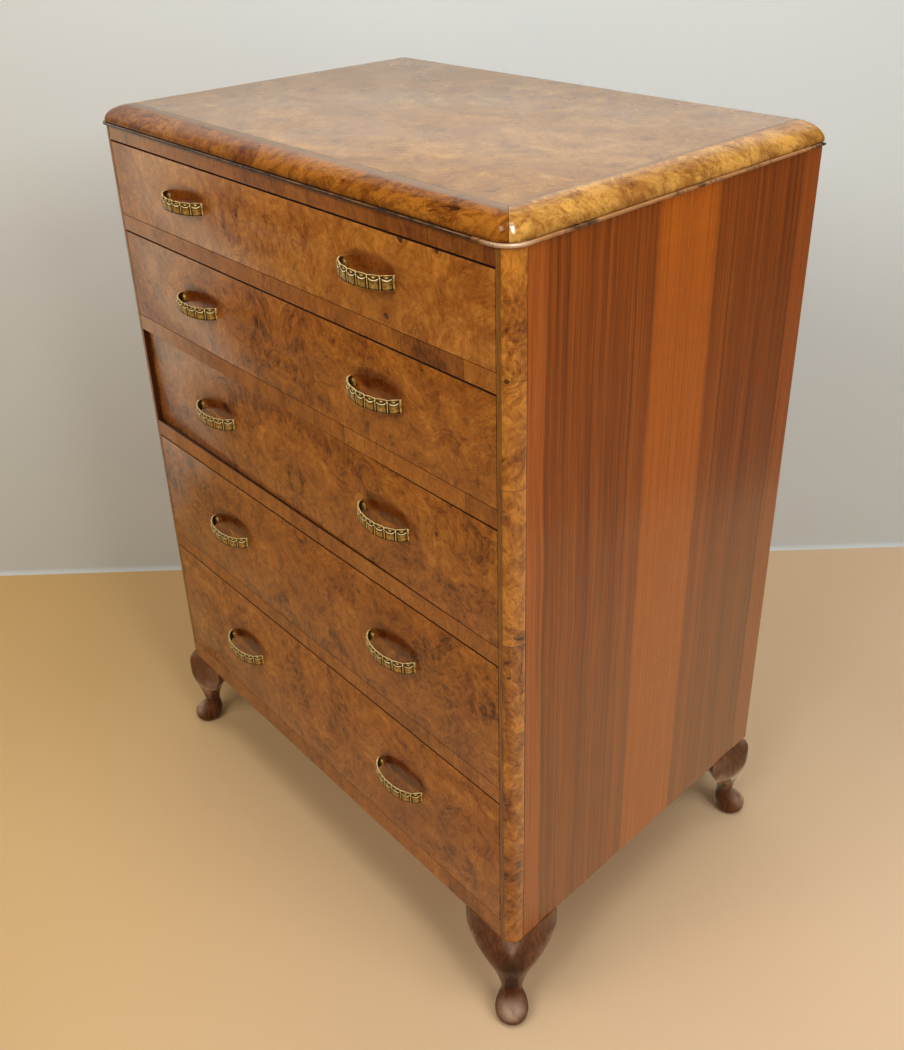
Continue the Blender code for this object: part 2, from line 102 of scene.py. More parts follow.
# ---------------------------------------------------------------- finishes
class Finish:
    """A material built from shader nodes, in metres in the object's own space."""

    def __init__(self, name):
        self.mat = bpy.data.materials.new(name)
        self.mat.use_nodes = True
        self.tree = self.mat.node_tree
        self.tree.nodes.clear()
        out = self.add("ShaderNodeOutputMaterial")
        self.shader = self.add("ShaderNodeBsdfPrincipled")
        self.tree.links.new(self.shader.outputs[0], out.inputs[0])
        self.place = self.add("ShaderNodeTexCoord").outputs["Object"]

    def add(self, kind, **props):
        node = self.tree.nodes.new(kind)
        for key, value in props.items():
            setattr(node, key, value)
        return node

    def join(self, value, socket):
        if isinstance(value, bpy.types.NodeSocket):
            self.tree.links.new(value, socket)
        elif isinstance(value, (tuple, list)) and len(value) == 3 and socket.type == "RGBA":
            socket.default_value = (*value, 1.0)
        else:
            socket.default_value = value

    def set(self, **values):
        for key, value in values.items():
            self.join(value, self.shader.inputs[key.replace("_", " ")])
        return self

    def math(self, op, a, b=None, c=None, clamp=False):
        node = self.add("ShaderNodeMath", operation=op, use_clamp=clamp)
        for value, socket in zip((a, b, c), node.inputs):
            if value is not None:
                self.join(value, socket)
        return node.outputs[0]

    def plus(self, a, b):
        return self.math("ADD", a, b)

    def times(self, a, b):
        return self.math("MULTIPLY", a, b)

    def vector(self, op, a, b=None, scale=None):
        node = self.add("ShaderNodeVectorMath", operation=op)
        self.join(a, node.inputs[0])
        if b is not None:
            self.join(b, node.inputs[1])
        if scale is not None:
            self.join(scale, node.inputs["Scale"])
        return node.outputs["Value" if op in ("LENGTH", "DISTANCE", "DOT_PRODUCT") else "Vector"]

    def split(self, value):
        node = self.add("ShaderNodeSeparateXYZ")
        self.join(value, node.inputs[0])
        return node.outputs[0], node.outputs[1], node.outputs[2]

    def merge(self, x, y, z):
        node = self.add("ShaderNodeCombineXYZ")
        for value, socket in zip((x, y, z), node.inputs):
            self.join(value, socket)
        return node.outputs[0]

    def noise(self, at, scale, detail=2.0, rough=0.5, warp=0.0, colour=False):
        node = self.add("ShaderNodeTexNoise")
        self.join(at, node.inputs["Vector"])
        for key, value in (("Scale", scale), ("Detail", detail), ("Roughness", rough), ("Distortion", warp)):
            node.inputs[key].default_value = value
        return node.outputs["Color" if colour else "Fac"]

    def cells(self, at, scale, random=1.0):
        node = self.add("ShaderNodeTexVoronoi", feature="F1")
        self.join(at, node.inputs["Vector"])
        node.inputs["Scale"].default_value = scale
        node.inputs["Randomness"].default_value = random
        return node.outputs["Distance"], node.outputs["Color"]

    def band(self, value, low, high, start=0.0, end=1.0):
        """start below low, end above high, and a soft step between."""
        node = self.add("ShaderNodeMapRange", interpolation_type="SMOOTHSTEP")
        for got, socket in zip((value, low, high, start, end), node.inputs):
            self.join(got, socket)
        return node.outputs[0]

    def ramp(self, value, stops, easing="LINEAR"):
        node = self.add("ShaderNodeValToRGB")
        self.join(value, node.inputs[0])
        ramp = node.color_ramp
        ramp.interpolation = easing
        while len(ramp.elements) < len(stops):
            ramp.elements.new(0.5)
        for element, (at, colour) in zip(ramp.elements, stops):
            element.position = at
            element.color = (*colour, 1.0) if isinstance(colour, tuple) else (colour, colour, colour, 1.0)
        return node.outputs[0]

    def mix(self, share, a, b, blend="MIX"):
        node = self.add("ShaderNodeMix", data_type="RGBA", blend_type=blend)
        self.join(share, node.inputs[0])
        self.join(a, node.inputs[6])
        self.join(b, node.inputs[7])
        return node.outputs[2]

    def bump(self, height, strength, distance, under=None):
        node = self.add("ShaderNodeBump")
        node.inputs["Strength"].default_value = strength
        node.inputs["Distance"].default_value = distance
        self.join(height, node.inputs["Height"])
        if under is not None:
            self.join(under, node.inputs["Normal"])
        return node.outputs[0]

    def drift(self, at, scale, size, detail=2.0):
        """at, carried sideways by a slow noise of about that size in metres."""
        cloud = self.noise(at, scale, detail, 0.5, colour=True)
        away = self.vector("SUBTRACT", cloud, (0.5, 0.5, 0.5))
        return self.vector("ADD", at, self.vector("SCALE", away, scale=size))

    def polish(self, base, low, high, marks, grit=0.10):
        """French polish over wood: one smooth film, a little uneven, that mirrors the room faintly."""
        smear = self.noise(self.place, 8.0, 4.0, 0.6)
        self.set(Base_Color=base, Roughness=self.band(smear, 0.3, 0.7, low, high), IOR=1.5)
        slow = self.bump(self.noise(self.place, 21.0, 2.0, 0.5), 0.10, 0.0012)
        fine = self.bump(marks, grit, 0.00012, slow)
        self.join(fine, self.shader.inputs["Normal"])
        return self.mat


GOLD = (0.500, 0.184, 0.0270)
TAN = (0.374, 0.116, 0.0150)
BROWN = (0.205, 0.056, 0.0088)
UMBER = (0.058, 0.0170, 0.0050)
RED = (0.200, 0.042, 0.0080)


def lift(colour, factor):
    return tuple(c * factor for c in colour)


def burr(
    name, shift, book=True, stretch=(1.0, 1.0, 1.0), tone=None, rising=None, gold=0.0, spots=1.0, contrast=1.0,
    heart=None, halo=None, recess=False, knots=(), strip=None, joints=(), low=0.17, high=0.25, gloss=0.5, pale_sheen=None,
    dull=None, grit=0.10,
):
    """Burr walnut veneer. book opens it like a book about the middle of the chest.

    heart is (x, z, half width, half height, share) of a darker, busier cluster. halo is the height of a
    drawer's handles, with the rise of the painted shade and dark reflection behind each bow. knots are (x, z,
    radius) of single eyes. strip is the x of a post's inner edge. joints are heights of veneer joints.
    """
    f = Finish(name)
    x, y, z = f.split(f.place)
    if book:
        sway = f.times(f.plus(f.noise(f.merge(x, 0.0, z), 14.0, 2.0), -0.5), 0.016)
        across = f.math("ABSOLUTE", f.plus(x, sway))
    else:
        across = x
    leaf = f.merge(across, y, z)
    if joints:
        # each length of veneer on a post starts its figure afresh
        step = 0.0
        for at in joints:
            step = f.plus(f.math("GREATER_THAN", z, at), step)
        leaf = f.vector("ADD", leaf, f.merge(0.0, f.times(step, 0.37), f.times(step, 0.11)))
    at = f.vector("ADD", f.vector("MULTIPLY", leaf, stretch), shift)
    slow = f.drift(at, 7.0, 0.085)
    swirl = f.drift(slow, 26.0, 0.030, 3.0)
    curl = f.drift(swirl, 85.0, 0.0095, 2.0)

    # patches of different growth, each with its own tone, then figure of smaller and smaller size
    far, patch = f.cells(swirl, 27.0)
    tint = f.split(patch)[0]
    cloud = f.noise(swirl, 19.0, 3.0, 0.55)
    figure = f.noise(curl, 74.0, 4.0, 0.62)
    mottle = f.noise(curl, 210.0, 3.0, 0.60)
    fibre = f.noise(f.vector("MULTIPLY", curl, (480.0, 480.0, 130.0)), 1.0, 3.0, 0.6)
    body = f.plus(f.times(cloud, 0.85 * contrast), f.times(figure, 1.00 * contrast))
    body = f.plus(body, f.times(mottle, 0.66 * contrast))
    body = f.plus(body, f.times(fibre, 0.34 * contrast))
    body = f.plus(body, f.times(tint, 0.22 * contrast))
    # growth lines that run round the swirls
    lines = f.math("SINE", f.times(f.noise(swirl, 13.0, 2.0, 0.45), 95.0))
    body = f.plus(body, f.times(f.times(lines, f.band(f.noise(slow, 17.0, 2.0), 0.40, 0.62)), 0.050 * contrast))
    body = f.plus(body, 0.545 - 1.535 * contrast + gold)
    if heart:
        hx, hz, hw, hh, share = heart
        core = f.vector("LENGTH", f.merge(f.times(f.plus(x, -hx), 1 / hw), 0.0, f.times(f.plus(z, -hz), 1 / hh)))
        core = f.plus(core, f.times(f.plus(f.noise(f.place, 22.0, 4.0, 0.65), -0.5), 1.5))
        core = f.band(core, 0.25, 1.15, share, 0.0)
        away = f.drift(f.drift(f.place, 30.0, 0.020, 3.0), 90.0, 0.008)
        streak = f.noise(f.vector("MULTIPLY", away, (70.0, 70.0, 42.0)), 1.0, 4.0, 0.68)
        body = f.plus(body, f.times(f.times(f.band(streak, 0.52, 0.34), core), -0.24))
        body = f.plus(body, f.times(core, -0.05))
    wood = f.ramp(
        body,
        [
            (0.16, lift(UMBER, 0.9)), (0.30, BROWN), (0.44, lift(TAN, 0.82)), (0.56, TAN),
            (0.74, lift(GOLD, 0.96)), (0.92, lift(GOLD, 1.25)),
        ],
    )
    # reddish patches
    warm = f.noise(swirl, 9.0, 3.0, 0.55)
    wood = f.mix(f.band(warm, 0.50, 0.70, 0.0, 0.36), wood, RED)
    # thin dark growth lines that wander and break off
    thread = f.math("ABSOLUTE", f.plus(f.noise(curl, 62.0, 3.0, 0.6), -0.5))
    broken = f.band(f.noise(slow, 30.0, 2.0), 0.44, 0.60)
    wood = f.mix(f.times(f.band(thread, 0.004, 0.022, 0.42, 0.0), broken), wood, lift(UMBER, 1.1))
    thread = f.math("ABSOLUTE", f.plus(f.noise(f.vector("ADD", curl, (2.3, 0.6, 1.9)), 120.0, 2.0, 0.6), -0.5))
    wood = f.mix(f.band(thread, 0.004, 0.030, 0.24, 0.0), wood, lift(BROWN, 0.55))
    # eyes: small knots in clusters, each with a ring
    where = f.band(f.noise(slow, 12.0, 2.0), 0.50, 0.60)
    dist, tint = f.cells(curl, 66.0)
    eye = f.math("MAXIMUM", f.band(dist, 0.06, 0.15, 1.0, 0.0), f.times(
        f.math("MULTIPLY", f.band(dist, 0.20, 0.27), f.band(dist, 0.27, 0.36, 1.0, 0.0)), 0.6))
    eye = f.times(f.times(eye, where), 0.48 * spots)
    wood = f.mix(eye, wood, lift(UMBER, 0.9))
    for kx, kz, radius in knots:
        away = f.vector("DISTANCE", f.merge(x, 0.0, z), (kx, 0.0, kz))
        away = f.plus(away, f.times(f.plus(f.noise(f.place, 160.0, 2.0), -0.5), radius * 0.9))
        wood = f.mix(f.band(away, radius * 0.75, radius * 1.1, 0.86, 0.0), wood, lift(UMBER, 0.75))
        ring = f.times(f.band(away, radius * 1.2, radius * 1.7), f.band(away, radius * 1.7, radius * 2.6, 0.45, 0.0))
        wood = f.mix(ring, wood, BROWN)
    # fine pores along the fibres
    pores = f.noise(f.vector("MULTIPLY", curl, (1500.0, 1500.0, 260.0)), 1.0, 2.0, 0.7)
    wood = f.mix(f.band(pores, 0.34, 0.46, 0.20, 0.0), wood, lift(UMBER, 1.3))
    if joints:
        for at_z in joints:
            line = f.math("ABSOLUTE", f.plus(f.plus(z, -at_z), f.times(f.plus(f.noise(f.place, 90.0), -0.5), 0.0025)))
            wood = f.mix(f.band(line, 0.0002, 0.0008, 0.55, 0.0), wood, UMBER)
    if strip is not None:
        # a darker, grained strip along the post's inner edge, and a pale line on its arris
        inward = f.math("ABSOLUTE", f.plus(f.math("ABSOLUTE", x), -strip))
        grain = f.noise(f.vector("MULTIPLY", f.place, (700.0, 700.0, 25.0)), 1.0, 3.0)
        dark_strip = f.mix(f.band(grain, 0.35, 0.65), (0.120, 0.042, 0.0100), (0.250, 0.098, 0.0200))
        wood = f.mix(f.band(inward, 0.0058, 0.0070, 0.85, 0.0), wood, dark_strip)
        pale = f.times(f.band(inward, 0.0008, 0.0016, 0.5, 0.0), f.band(f.noise(f.place, 34.0, 3.0), 0.40, 0.66, 0.0, 1.0))
        wood = f.mix(pale, wood, (0.38, 0.17, 0.055))
    if halo is not None:
        # painted shade: the wood behind each bow is darkened, for the bow's shadow and its dark reflection in the
        # polish
        level, rise = halo
        dx = f.plus(f.plus(f.math("ABSOLUTE", x), -HANDLE_X), f.times(f.math("SIGN", x), -0.008))
        dx = f.times(dx, 1 / 0.046)
        dz = f.times(f.plus(z, -(level + rise)), 1 / 0.0155)
        out = f.vector("LENGTH", f.merge(dx, 0.0, dz))
        out = f.plus(out, f.times(f.plus(f.noise(f.place, 38.0, 3.0), -0.5), 0.40))
        wood = f.mix(f.band(out, 0.72, 1.22, 0.85, 0.0), wood, f.mix(1.0, wood, (0.44, 0.28, 0.27), "MULTIPLY"))
    if recess:
        # the left end stands back in the shade of the post
        deep = f.plus(f.plus(x, 0.3592), f.times(f.plus(z, -0.60), -0.030))
        wood = f.mix(f.band(deep, 0.0010, 0.0110, 0.88, 0.0), wood, (0.040, 0.0125, 0.0060))
    if rising:
        # painted light: brighter towards the top, where more of the overhead light falls
        wood = f.mix(f.band(z, 0.75, 1.03, 0.0, 1.0), wood, f.mix(1.0, wood, rising, "MULTIPLY"))
    if tone:
        wood = f.mix(1.0, wood, tone, "MULTIPLY")
    if pale_sheen:
        # painted sheen: soft pale patches that stand in for the haze of the wall mirrored in the polish
        share, pale = pale_sheen
        wood = f.mix(f.band(f.noise(f.place, 6.0, 4.0, 0.6), 0.3, 0.7, share * 0.85, share * 1.15), wood, pale)
    if dull:
        # a moulding's flat inner edge, darker and duller along the seam
        along, start, end = dull
        seam = f.plus(f.math("ABSOLUTE", x if along == "x" else y), f.times(f.plus(figure, -0.5), 0.004))
        wood = f.mix(f.band(seam, start, end, 0.78, 0.0), wood, (0.180, 0.105, 0.050))
    f.set(Specular_IOR_Level=gloss)
    return f.polish(wood, low, high, f.plus(pores, f.times(figure, 0.6)), grit)


def dark_wood(name, colour):
    """Dark old wood for faces that only show inside a gap, darkened further as painted shade."""
    f = Finish(name)
    grain = f.noise(f.vector("MULTIPLY", f.place, (40.0, 300.0, 300.0)), 1.0, 3.0, 0.6)
    f.set(Base_Color=f.mix(grain, lift(colour, 0.7), lift(colour, 1.4)), Roughness=0.75, Specular_IOR_Level=0.15)
    f.join(f.bump(grain, 0.2, 0.0002), f.shader.inputs["Normal"])
    return f.mat


def crossband(name, shift, plain_from=0.14):
    """Rails veneered in short leaves. Towards the right end they turn to plain cross grain of unlike tones."""
    f = Finish(name)
    x, y, z = f.split(f.place)
    # leaves between 60 and 160 mm long
    slide = f.plus(f.times(x, 9.4), f.times(f.noise(f.merge(x, 0.0, shift[0]), 6.0, 1.0), 2.2))
    leaf = f.math("FLOOR", slide)
    tint = f.noise(f.merge(f.times(leaf, 7.31), shift[1], 0.5), 1.0, 0.0)
    edge = f.math("PINGPONG", slide, 0.5)
    plain = f.band(x, plain_from - 0.05, plain_from + 0.05, 0.22, 1.0)
    at = f.vector("ADD", f.merge(x, y, f.times(z, 0.55)), f.merge(f.times(leaf, 0.7), shift[1], shift[2]))
    slow = f.drift(at, 9.0, 0.05)
    swirl = f.drift(slow, 40.0, 0.018, 3.0)
    curl = f.drift(swirl, 110.0, 0.006, 2.0)
    cloud = f.noise(swirl, 34.0, 4.0, 0.6)
    mottle = f.noise(curl, 190.0, 3.0, 0.6)
    fibre = f.noise(f.vector("MULTIPLY", swirl, (420.0, 420.0, 46.0)), 1.0, 4.0, 0.62)
    body = f.plus(f.times(cloud, 1.0), f.times(mottle, 0.60))
    body = f.plus(body, f.times(f.plus(fibre, -0.5), f.plus(0.20, f.times(plain, 0.10))))
    body = f.plus(body, f.times(f.times(f.plus(tint, -0.5), 0.9), plain))
    body = f.plus(body, -0.27)
    wood = f.ramp(
        body, [(0.14, UMBER), (0.30, BROWN), (0.46, lift(TAN, 0.80)), (0.62, TAN), (0.86, lift(GOLD, 0.95))]
    )
    wood = f.mix(f.band(f.noise(swirl, 8.0, 2.0), 0.48, 0.68, 0.0, 0.28), wood, RED)
    wood = f.mix(f.times(f.band(edge, 0.002, 0.010, 0.40, 0.0), plain), wood, UMBER)
    thread = f.math("ABSOLUTE", f.plus(f.noise(curl, 95.0, 2.0, 0.6), -0.5))
    wood = f.mix(f.band(thread, 0.004, 0.026, 0.36, 0.0), wood, lift(BROWN, 0.5))
    pores = f.noise(f.vector("MULTIPLY", swirl, (1500.0, 1500.0, 160.0)), 1.0, 2.0, 0.7)
    wood = f.mix(f.band(pores, 0.34, 0.46, 0.30, 0.0), wood, UMBER)
    # painted shade: the top face, which only shows in a gap, is darkened almost to black
    up = f.split(f.add("ShaderNodeNewGeometry").outputs["True Normal"])[2]
    wood = f.mix(f.band(up, 0.75, 0.95, 0.0, 0.93), wood, (0.020, 0.008, 0.004))
    return f.polish(wood, 0.17, 0.26, pores)


def straight(name):
    """The side panels: two leaves of straight, striped walnut that mirror each other about y = 0.010."""
    f = Finish(name)
    x, y, z = f.split(f.place)
    sway = f.times(f.plus(f.noise(f.merge(f.times(y, 1.4), x, z), 3.2, 3.0, 0.55), -0.5), 0.016)
    wave = f.times(f.plus(f.noise(f.merge(f.times(y, 5.0), x, f.times(z, 5.0)), 2.0, 2.0), -0.5), 0.004)
    m = f.math("ABSOLUTE", f.plus(y, -0.010))
    m_in = f.plus(m, f.plus(f.times(sway, f.band(m, 0.05, 0.12)), wave))
    # broad bands of the leaf, from its sapwood-side edge in the middle outwards
    light, pink = (0.500, 0.126, 0.0115), (0.460, 0.118, 0.0175)
    dark, deep, mid = (0.256, 0.060, 0.0074), (0.175, 0.038, 0.0060), (0.340, 0.085, 0.0105)
    bands = f.ramp(
        f.times(m_in, 4.0),
        [
            (0.000, lift(light, 1.05)), (0.030, light), (0.120, lift(light, 1.06)), (0.192, lift(light, 0.97)),
            (0.210, mid), (0.228, dark), (0.300, mid), (0.420, dark), (0.520, mid), (0.590, dark),
            (0.700, mid), (0.775, dark), (0.825, mid), (0.843, pink), (0.93, lift(pink, 1.05)), (1.0, pink),
        ],
    )
    # streaks of three widths, long in the grain
    wide = f.noise(f.merge(f.times(m_in, 90.0), 0.0, f.times(z, 0.9)), 1.0, 3.0, 0.6)
    thin = f.noise(f.merge(f.times(m_in, 420.0), 0.0, f.times(z, 2.4)), 1.0, 3.0, 0.6)
    hair = f.noise(f.merge(f.times(m_in, 1500.0), f.times(x, 900.0), f.times(z, 7.0)), 1.0, 3.0, 0.6)
    figured = f.band(m_in, 0.046, 0.056)
    wood = f.mix(f.times(f.band(wide, 0.48, 0.68), f.plus(f.times(figured, 0.50), 0.12)), bands, deep)
    wood = f.mix(f.times(f.band(thin, 0.50, 0.66), f.plus(f.times(figured, 0.36), 0.18)), wood, lift(deep, 0.7))
    wood = f.mix(f.times(f.band(thin, 0.34, 0.48, 1.0, 0.0), 0.30), wood, lift(light, 1.10))
    wood = f.mix(f.band(hair, 0.34, 0.62, 0.42, 0.0), wood, lift(deep, 0.7))
    wood = f.mix(f.band(hair, 0.55, 0.68, 0.0, 0.30), wood, lift(light, 1.15))
    wood = f.mix(f.band(y, 0.06, 0.20, 0.0, 0.30), wood, lift(deep, 0.8))
    # single dark lines
    for at, width, share in (
        (0.0535, 0.0016, 0.26), (0.081, 0.0011, 0.62), (0.117, 0.0009, 0.48), (0.1425, 0.0009, 0.42),
        (0.1815, 0.0010, 0.50), (0.195, 0.0008, 0.40), (0.2065, 0.0009, 0.45),
    ):
        gap = f.math("ABSOLUTE", f.plus(m_in, -at))
        fade = f.band(f.noise(f.merge(at * 50, 0.0, f.times(z, 3.0)), 1.0, 2.0), 0.30, 0.62, 0.35, 1.0)
        wood = f.mix(f.times(f.band(gap, width * 0.35, width * 1.6, share, 0.0), fade), wood, (0.040, 0.014, 0.007))
    pores = f.noise(f.merge(f.times(m_in, 2600.0), f.times(x, 2600.0), f.times(z, 90.0)), 1.0, 2.0, 0.7)
    wood = f.mix(f.band(pores, 0.36, 0.48, 0.26, 0.0), wood, (0.07, 0.022, 0.009))
    # faint cross figure in the pale band
    ripple = f.noise(f.merge(f.times(m, 8.0), 0.0, f.times(z, 60.0)), 1.0, 3.0, 0.6)
    ripple = f.times(f.band(ripple, 0.4, 0.7, 0.0, 0.12), f.band(m_in, 0.046, 0.056, 1.0, 0.15))
    wood = f.mix(ripple, wood, lift(light, 1.25))
    # painted reflection: low down the side turns paler and yellower, for the bright floor mirrored in the polish
    dull = f.band(f.plus(z, f.times(f.noise(f.place, 2.0, 3.0), 0.2)), 0.45, 0.85, 0.17, 0.0)
    wood = f.mix(dull, wood, (0.270, 0.125, 0.036))
    f.set(Specular_IOR_Level=0.22)
    return f.polish(wood, 0.14, 0.22, pores)


def leg_wood(name):
    f = Finish(name)
    x, y, z = f.split(f.place)
    at = f.drift(f.place, 20.0, 0.012)
    grain = f.noise(f.vector("MULTIPLY", at, (260.0, 260.0, 22.0)), 1.0, 4.0, 0.62)
    cloud = f.noise(at, 26.0, 3.0, 0.6)
    wood = f.ramp(
        f.plus(f.times(grain, 0.55), f.times(cloud, 0.45)),
        [(0.34, (0.050, 0.0160, 0.0070)), (0.50, (0.122, 0.0400, 0.0150)), (0.66, (0.205, 0.0720, 0.0250))],
    )
    bend = f.add("ShaderNodeNewGeometry").outputs["Pointiness"]
    rub = f.times(f.band(bend, 0.505, 0.545), f.band(f.noise(f.place, 55.0, 3.0), 0.35, 0.62))
    wood = f.mix(f.times(rub, 0.5), wood, (0.22, 0.085, 0.026))
    # worn ears, and painted highlights on the knee's brow and the front of the ball
    edge = f.add("ShaderNodeAttribute", attribute_name="wear_and_highlight").outputs["Fac"]
    edge = f.times(edge, f.band(f.noise(f.place, 70.0, 3.0), 0.28, 0.60, 0.35, 1.0))
    wood = f.mix(f.times(edge, 0.90), wood, (0.54, 0.360, 0.245))
    # painted shade in the knee's hollow and on the leg's inner side
    shut = f.add("ShaderNodeAttribute", attribute_name="shade").outputs["Fac"]
    wood = f.mix(f.times(shut, 0.80), wood, (0.022, 0.0100, 0.0065))
    pores = f.noise(f.vector("MULTIPLY", at, (1400.0, 1400.0, 130.0)), 1.0, 2.0, 0.7)
    wood = f.mix(f.band(pores, 0.36, 0.47, 0.35, 0.0), wood, (0.018, 0.008, 0.005))
    f.set(Specular_IOR_Level=0.09)
    return f.polish(wood, 0.12, 0.24, pores)


def plain_wood(name, along, light, dark, rough=0.58):
    """Unpolished secondary wood with its grain along one axis."""
    f = Finish(name)
    at = f.drift(f.place, 5.0, 0.02)
    long, short = 9.0, 170.0
    scale = tuple(long if axis == along else short for axis in "xyz")
    grain = f.noise(f.vector("MULTIPLY", at, scale), 1.0, 4.0, 0.62)
    broad = f.noise(f.vector("MULTIPLY", at, tuple(s * 0.22 for s in scale)), 1.0, 3.0, 0.5)
    tone = f.plus(f.times(grain, 0.55), f.times(broad, 0.45))
    wood = f.ramp(tone, [(0.32, dark), (0.52, tuple((a + b) / 2 for a, b in zip(light, dark))), (0.68, light)])
    pores = f.noise(f.vector("MULTIPLY", at, tuple(s * 8 for s in scale)), 1.0, 2.0, 0.7)
    wood = f.mix(f.band(pores, 0.34, 0.46, 0.35, 0.0), wood, lift(dark, 0.45))
    grime = f.noise(f.place, 7.0, 4.0, 0.6)
    wood = f.mix(f.band(grime, 0.50, 0.75, 0.0, 0.35), wood, lift(dark, 0.55))
    f.set(Base_Color=wood, Roughness=f.band(grain, 0.3, 0.7, rough, rough + 0.12), IOR=1.45)
    f.join(f.bump(f.plus(pores, grain), 0.25, 0.0003), f.shader.inputs["Normal"])
    return f.mat


def lip_wood(name):
    """The thin lip under the moulding: a dark face, partly painted shade, and a pale upper edge, partly polish worn
    through to pale wood and partly painted highlight.
    """
    f = Finish(name)
    grain = f.noise(f.vector("MULTIPLY", f.drift(f.place, 20.0, 0.01), (60.0, 60.0, 300.0)), 1.0, 4.0, 0.6)
    # the dark face, partly painted shade
    wood = f.ramp(grain, [(0.35, (0.018, 0.008, 0.005)), (0.52, (0.040, 0.016, 0.008)), (0.66, (0.085, 0.034, 0.014))])
    worn = f.noise(f.place, 22.0, 4.0, 0.65)
    # the pale part, worn wood with painted highlight, is round the right corner and along the right side
    x, y, z = f.split(f.place)
    round_corner = f.vector("DISTANCE", f.merge(x, y, 0.0), (0.372, -0.240, 0.0))
    where = f.plus(f.band(x, 0.350, 0.379, 0.0, 0.10), f.band(round_corner, 0.020, 0.050, 0.14, 0.0))
    # painted highlight: a broken pale line along the upper arris of the front and right faces
    arris = f.band(f.plus(z, -(LEG_H + CASE_TOP)), 0.0024, 0.0030)
    rim = f.math("MAXIMUM", f.band(y, -0.2504, -0.2496, 1.0, 0.0), f.band(x, LIP_X - 0.0012, LIP_X - 0.0004))
    arris = f.times(arris, rim)
    arris = f.math("MAXIMUM", f.times(arris, 0.9), f.band(where, 0.04, 0.08))
    rubbed_and_lit = f.times(f.band(f.plus(worn, where), 0.44, 0.60, 0.0, 0.80), arris)
    wood = f.mix(rubbed_and_lit, wood, (0.46, 0.215, 0.075))
    # painted highlight: pale round the right front corner
    bright = f.band(round_corner, 0.012, 0.030, 0.55, 0.0)
    wood = f.mix(bright, wood, (0.62, 0.42, 0.27))
    nick = f.noise(f.place, 130.0, 2.0, 0.6)
    wood = f.mix(f.band(nick, 0.60, 0.68, 0.0, 0.7), wood, (0.06, 0.028, 0.014))
    f.set(Specular_IOR_Level=0.35)
    return f.polish(wood, 0.20, 0.36, grain)


def brass(name):
    """Cast brass with brown lacquer left in its hollows and bright metal on its ridges."""
    f = Finish(name)
    # lacquer worn off the ridges, and painted highlights on the band's top rim and top face
    rubbed_and_lit = f.add("ShaderNodeAttribute", attribute_name="rubbed_and_lit").outputs["Fac"]
    cloud = f.noise(f.place, 320.0, 4.0, 0.62)
    fine = f.noise(f.place, 1500.0, 3.0, 0.6)
    high = f.plus(rubbed_and_lit, f.times(f.plus(cloud, -0.5), 0.70))
    metal = f.ramp(
        high,
        [
            (0.10, (0.012, 0.007, 0.003)), (0.28, (0.060, 0.031, 0.008)), (0.46, (0.270, 0.138, 0.024)),
            (0.62, (0.530, 0.325, 0.066)), (0.79, (0.90, 0.730, 0.320)), (0.95, (1.0, 0.930, 0.620)),
        ],
    )
    f.set(
        Base_Color=metal,
        Metallic=f.band(high, 0.10, 0.90, 0.42, 0.12),
        Roughness=f.band(high, 0.15, 0.95, 0.46, 0.22),
        IOR=1.5,
    )
    f.join(f.bump(f.plus(fine, f.times(cloud, 0.6)), 0.35, 0.00012), f.shader.inputs["Normal"])
    return f.mat


def handle_z(n):
    low, high = OPENINGS[n]
    return LEG_H + low + (high - low) / 2 + HANDLE_UP


KNOTS = {
    0: ((0.2042, 0.9224, 0.0042), (0.2315, 1.0092, 0.0048), (0.2841, 1.0090, 0.0032)),
    2: ((0.2679, 0.6916, 0.0036),),
}
HEARTS = (
    (-0.030, 0.965, 0.125, 0.060, 1.35),
    (-0.030, 0.822, 0.075, 0.070, 0.45),
    (0.010, 0.660, 0.060, 0.050, 0.75),
    (0.075, 0.520, 0.045, 0.035, 0.8),
    (0.000, 0.300, 0.090, 0.060, 0.30),
)
FRONTS = [
    burr(
        "burr_drawer_%d" % (n + 1),
        (0.13 * n + 0.05, 0.9 * n, 0.41 * n),
        heart=HEARTS[n],
        halo=(handle_z(n), (0.007, 0.011, 0.013, 0.016, 0.016)[n]),
        recess=n == 2,
        knots=KNOTS.get(n, ()),
        gold=(0.170, -0.065, -0.075, -0.080, -0.045)[n],
        contrast=0.86,
    )
    for n in range(5)
]
TOP = burr(
    "burr_top", (0.4, 2.2, 5.0), stretch=(1.5, 1.5, 1.0), low=0.24, high=0.32, contrast=1.02, spots=0.0, grit=0.02, tone=(0.69, 0.93, 1.40), gold=-0.01,
    gloss=0.12, pale_sheen=(0.28, (0.57, 0.450, 0.335)),
)
MOULD_F = burr(
    "burr_moulding_front", (1.7, 0.3, 2.0), book=False, contrast=1.60, gold=0.09, spots=0.8,
    low=0.07, high=0.13, tone=(0.56, 0.53, 0.40), gloss=0.11, dull=("y", 0.2190, 0.2265),
)
MOULD_S = burr(
    "burr_moulding_side", (4.2, 1.1, 0.7), book=False, contrast=1.1, gold=0.15, spots=0.6,
    low=0.07, high=0.13, tone=(0.94, 1.28, 1.80), gloss=0.11, dull=("x", 0.3440, 0.3510),
)
POST = burr(
    "burr_post", (2.6, 3.3, 1.9), book=False, stretch=(1.0, 1.0, 0.85), gold=0.085, spots=1.2, strip=OPEN_X,
    contrast=1.42, joints=(0.400, 0.602, 0.789, 0.905), tone=(0.96, 0.97, 0.85), rising=(1.12, 1.12, 1.02),
    knots=((0.371, 0.905, 0.0026), (0.372, 0.560, 0.0024)),
)
SHADE = dark_wood("shaded_edge", (0.040, 0.0165, 0.0085))
INNER = dark_wood("post_inner_face", (0.065, 0.016, 0.006))
RAILS = [crossband("crossband_%d" % i, (0.31 * i, 1.7 * i, 0.6 * i)) for i in range(6)]
SIDES = straight("straight_walnut")
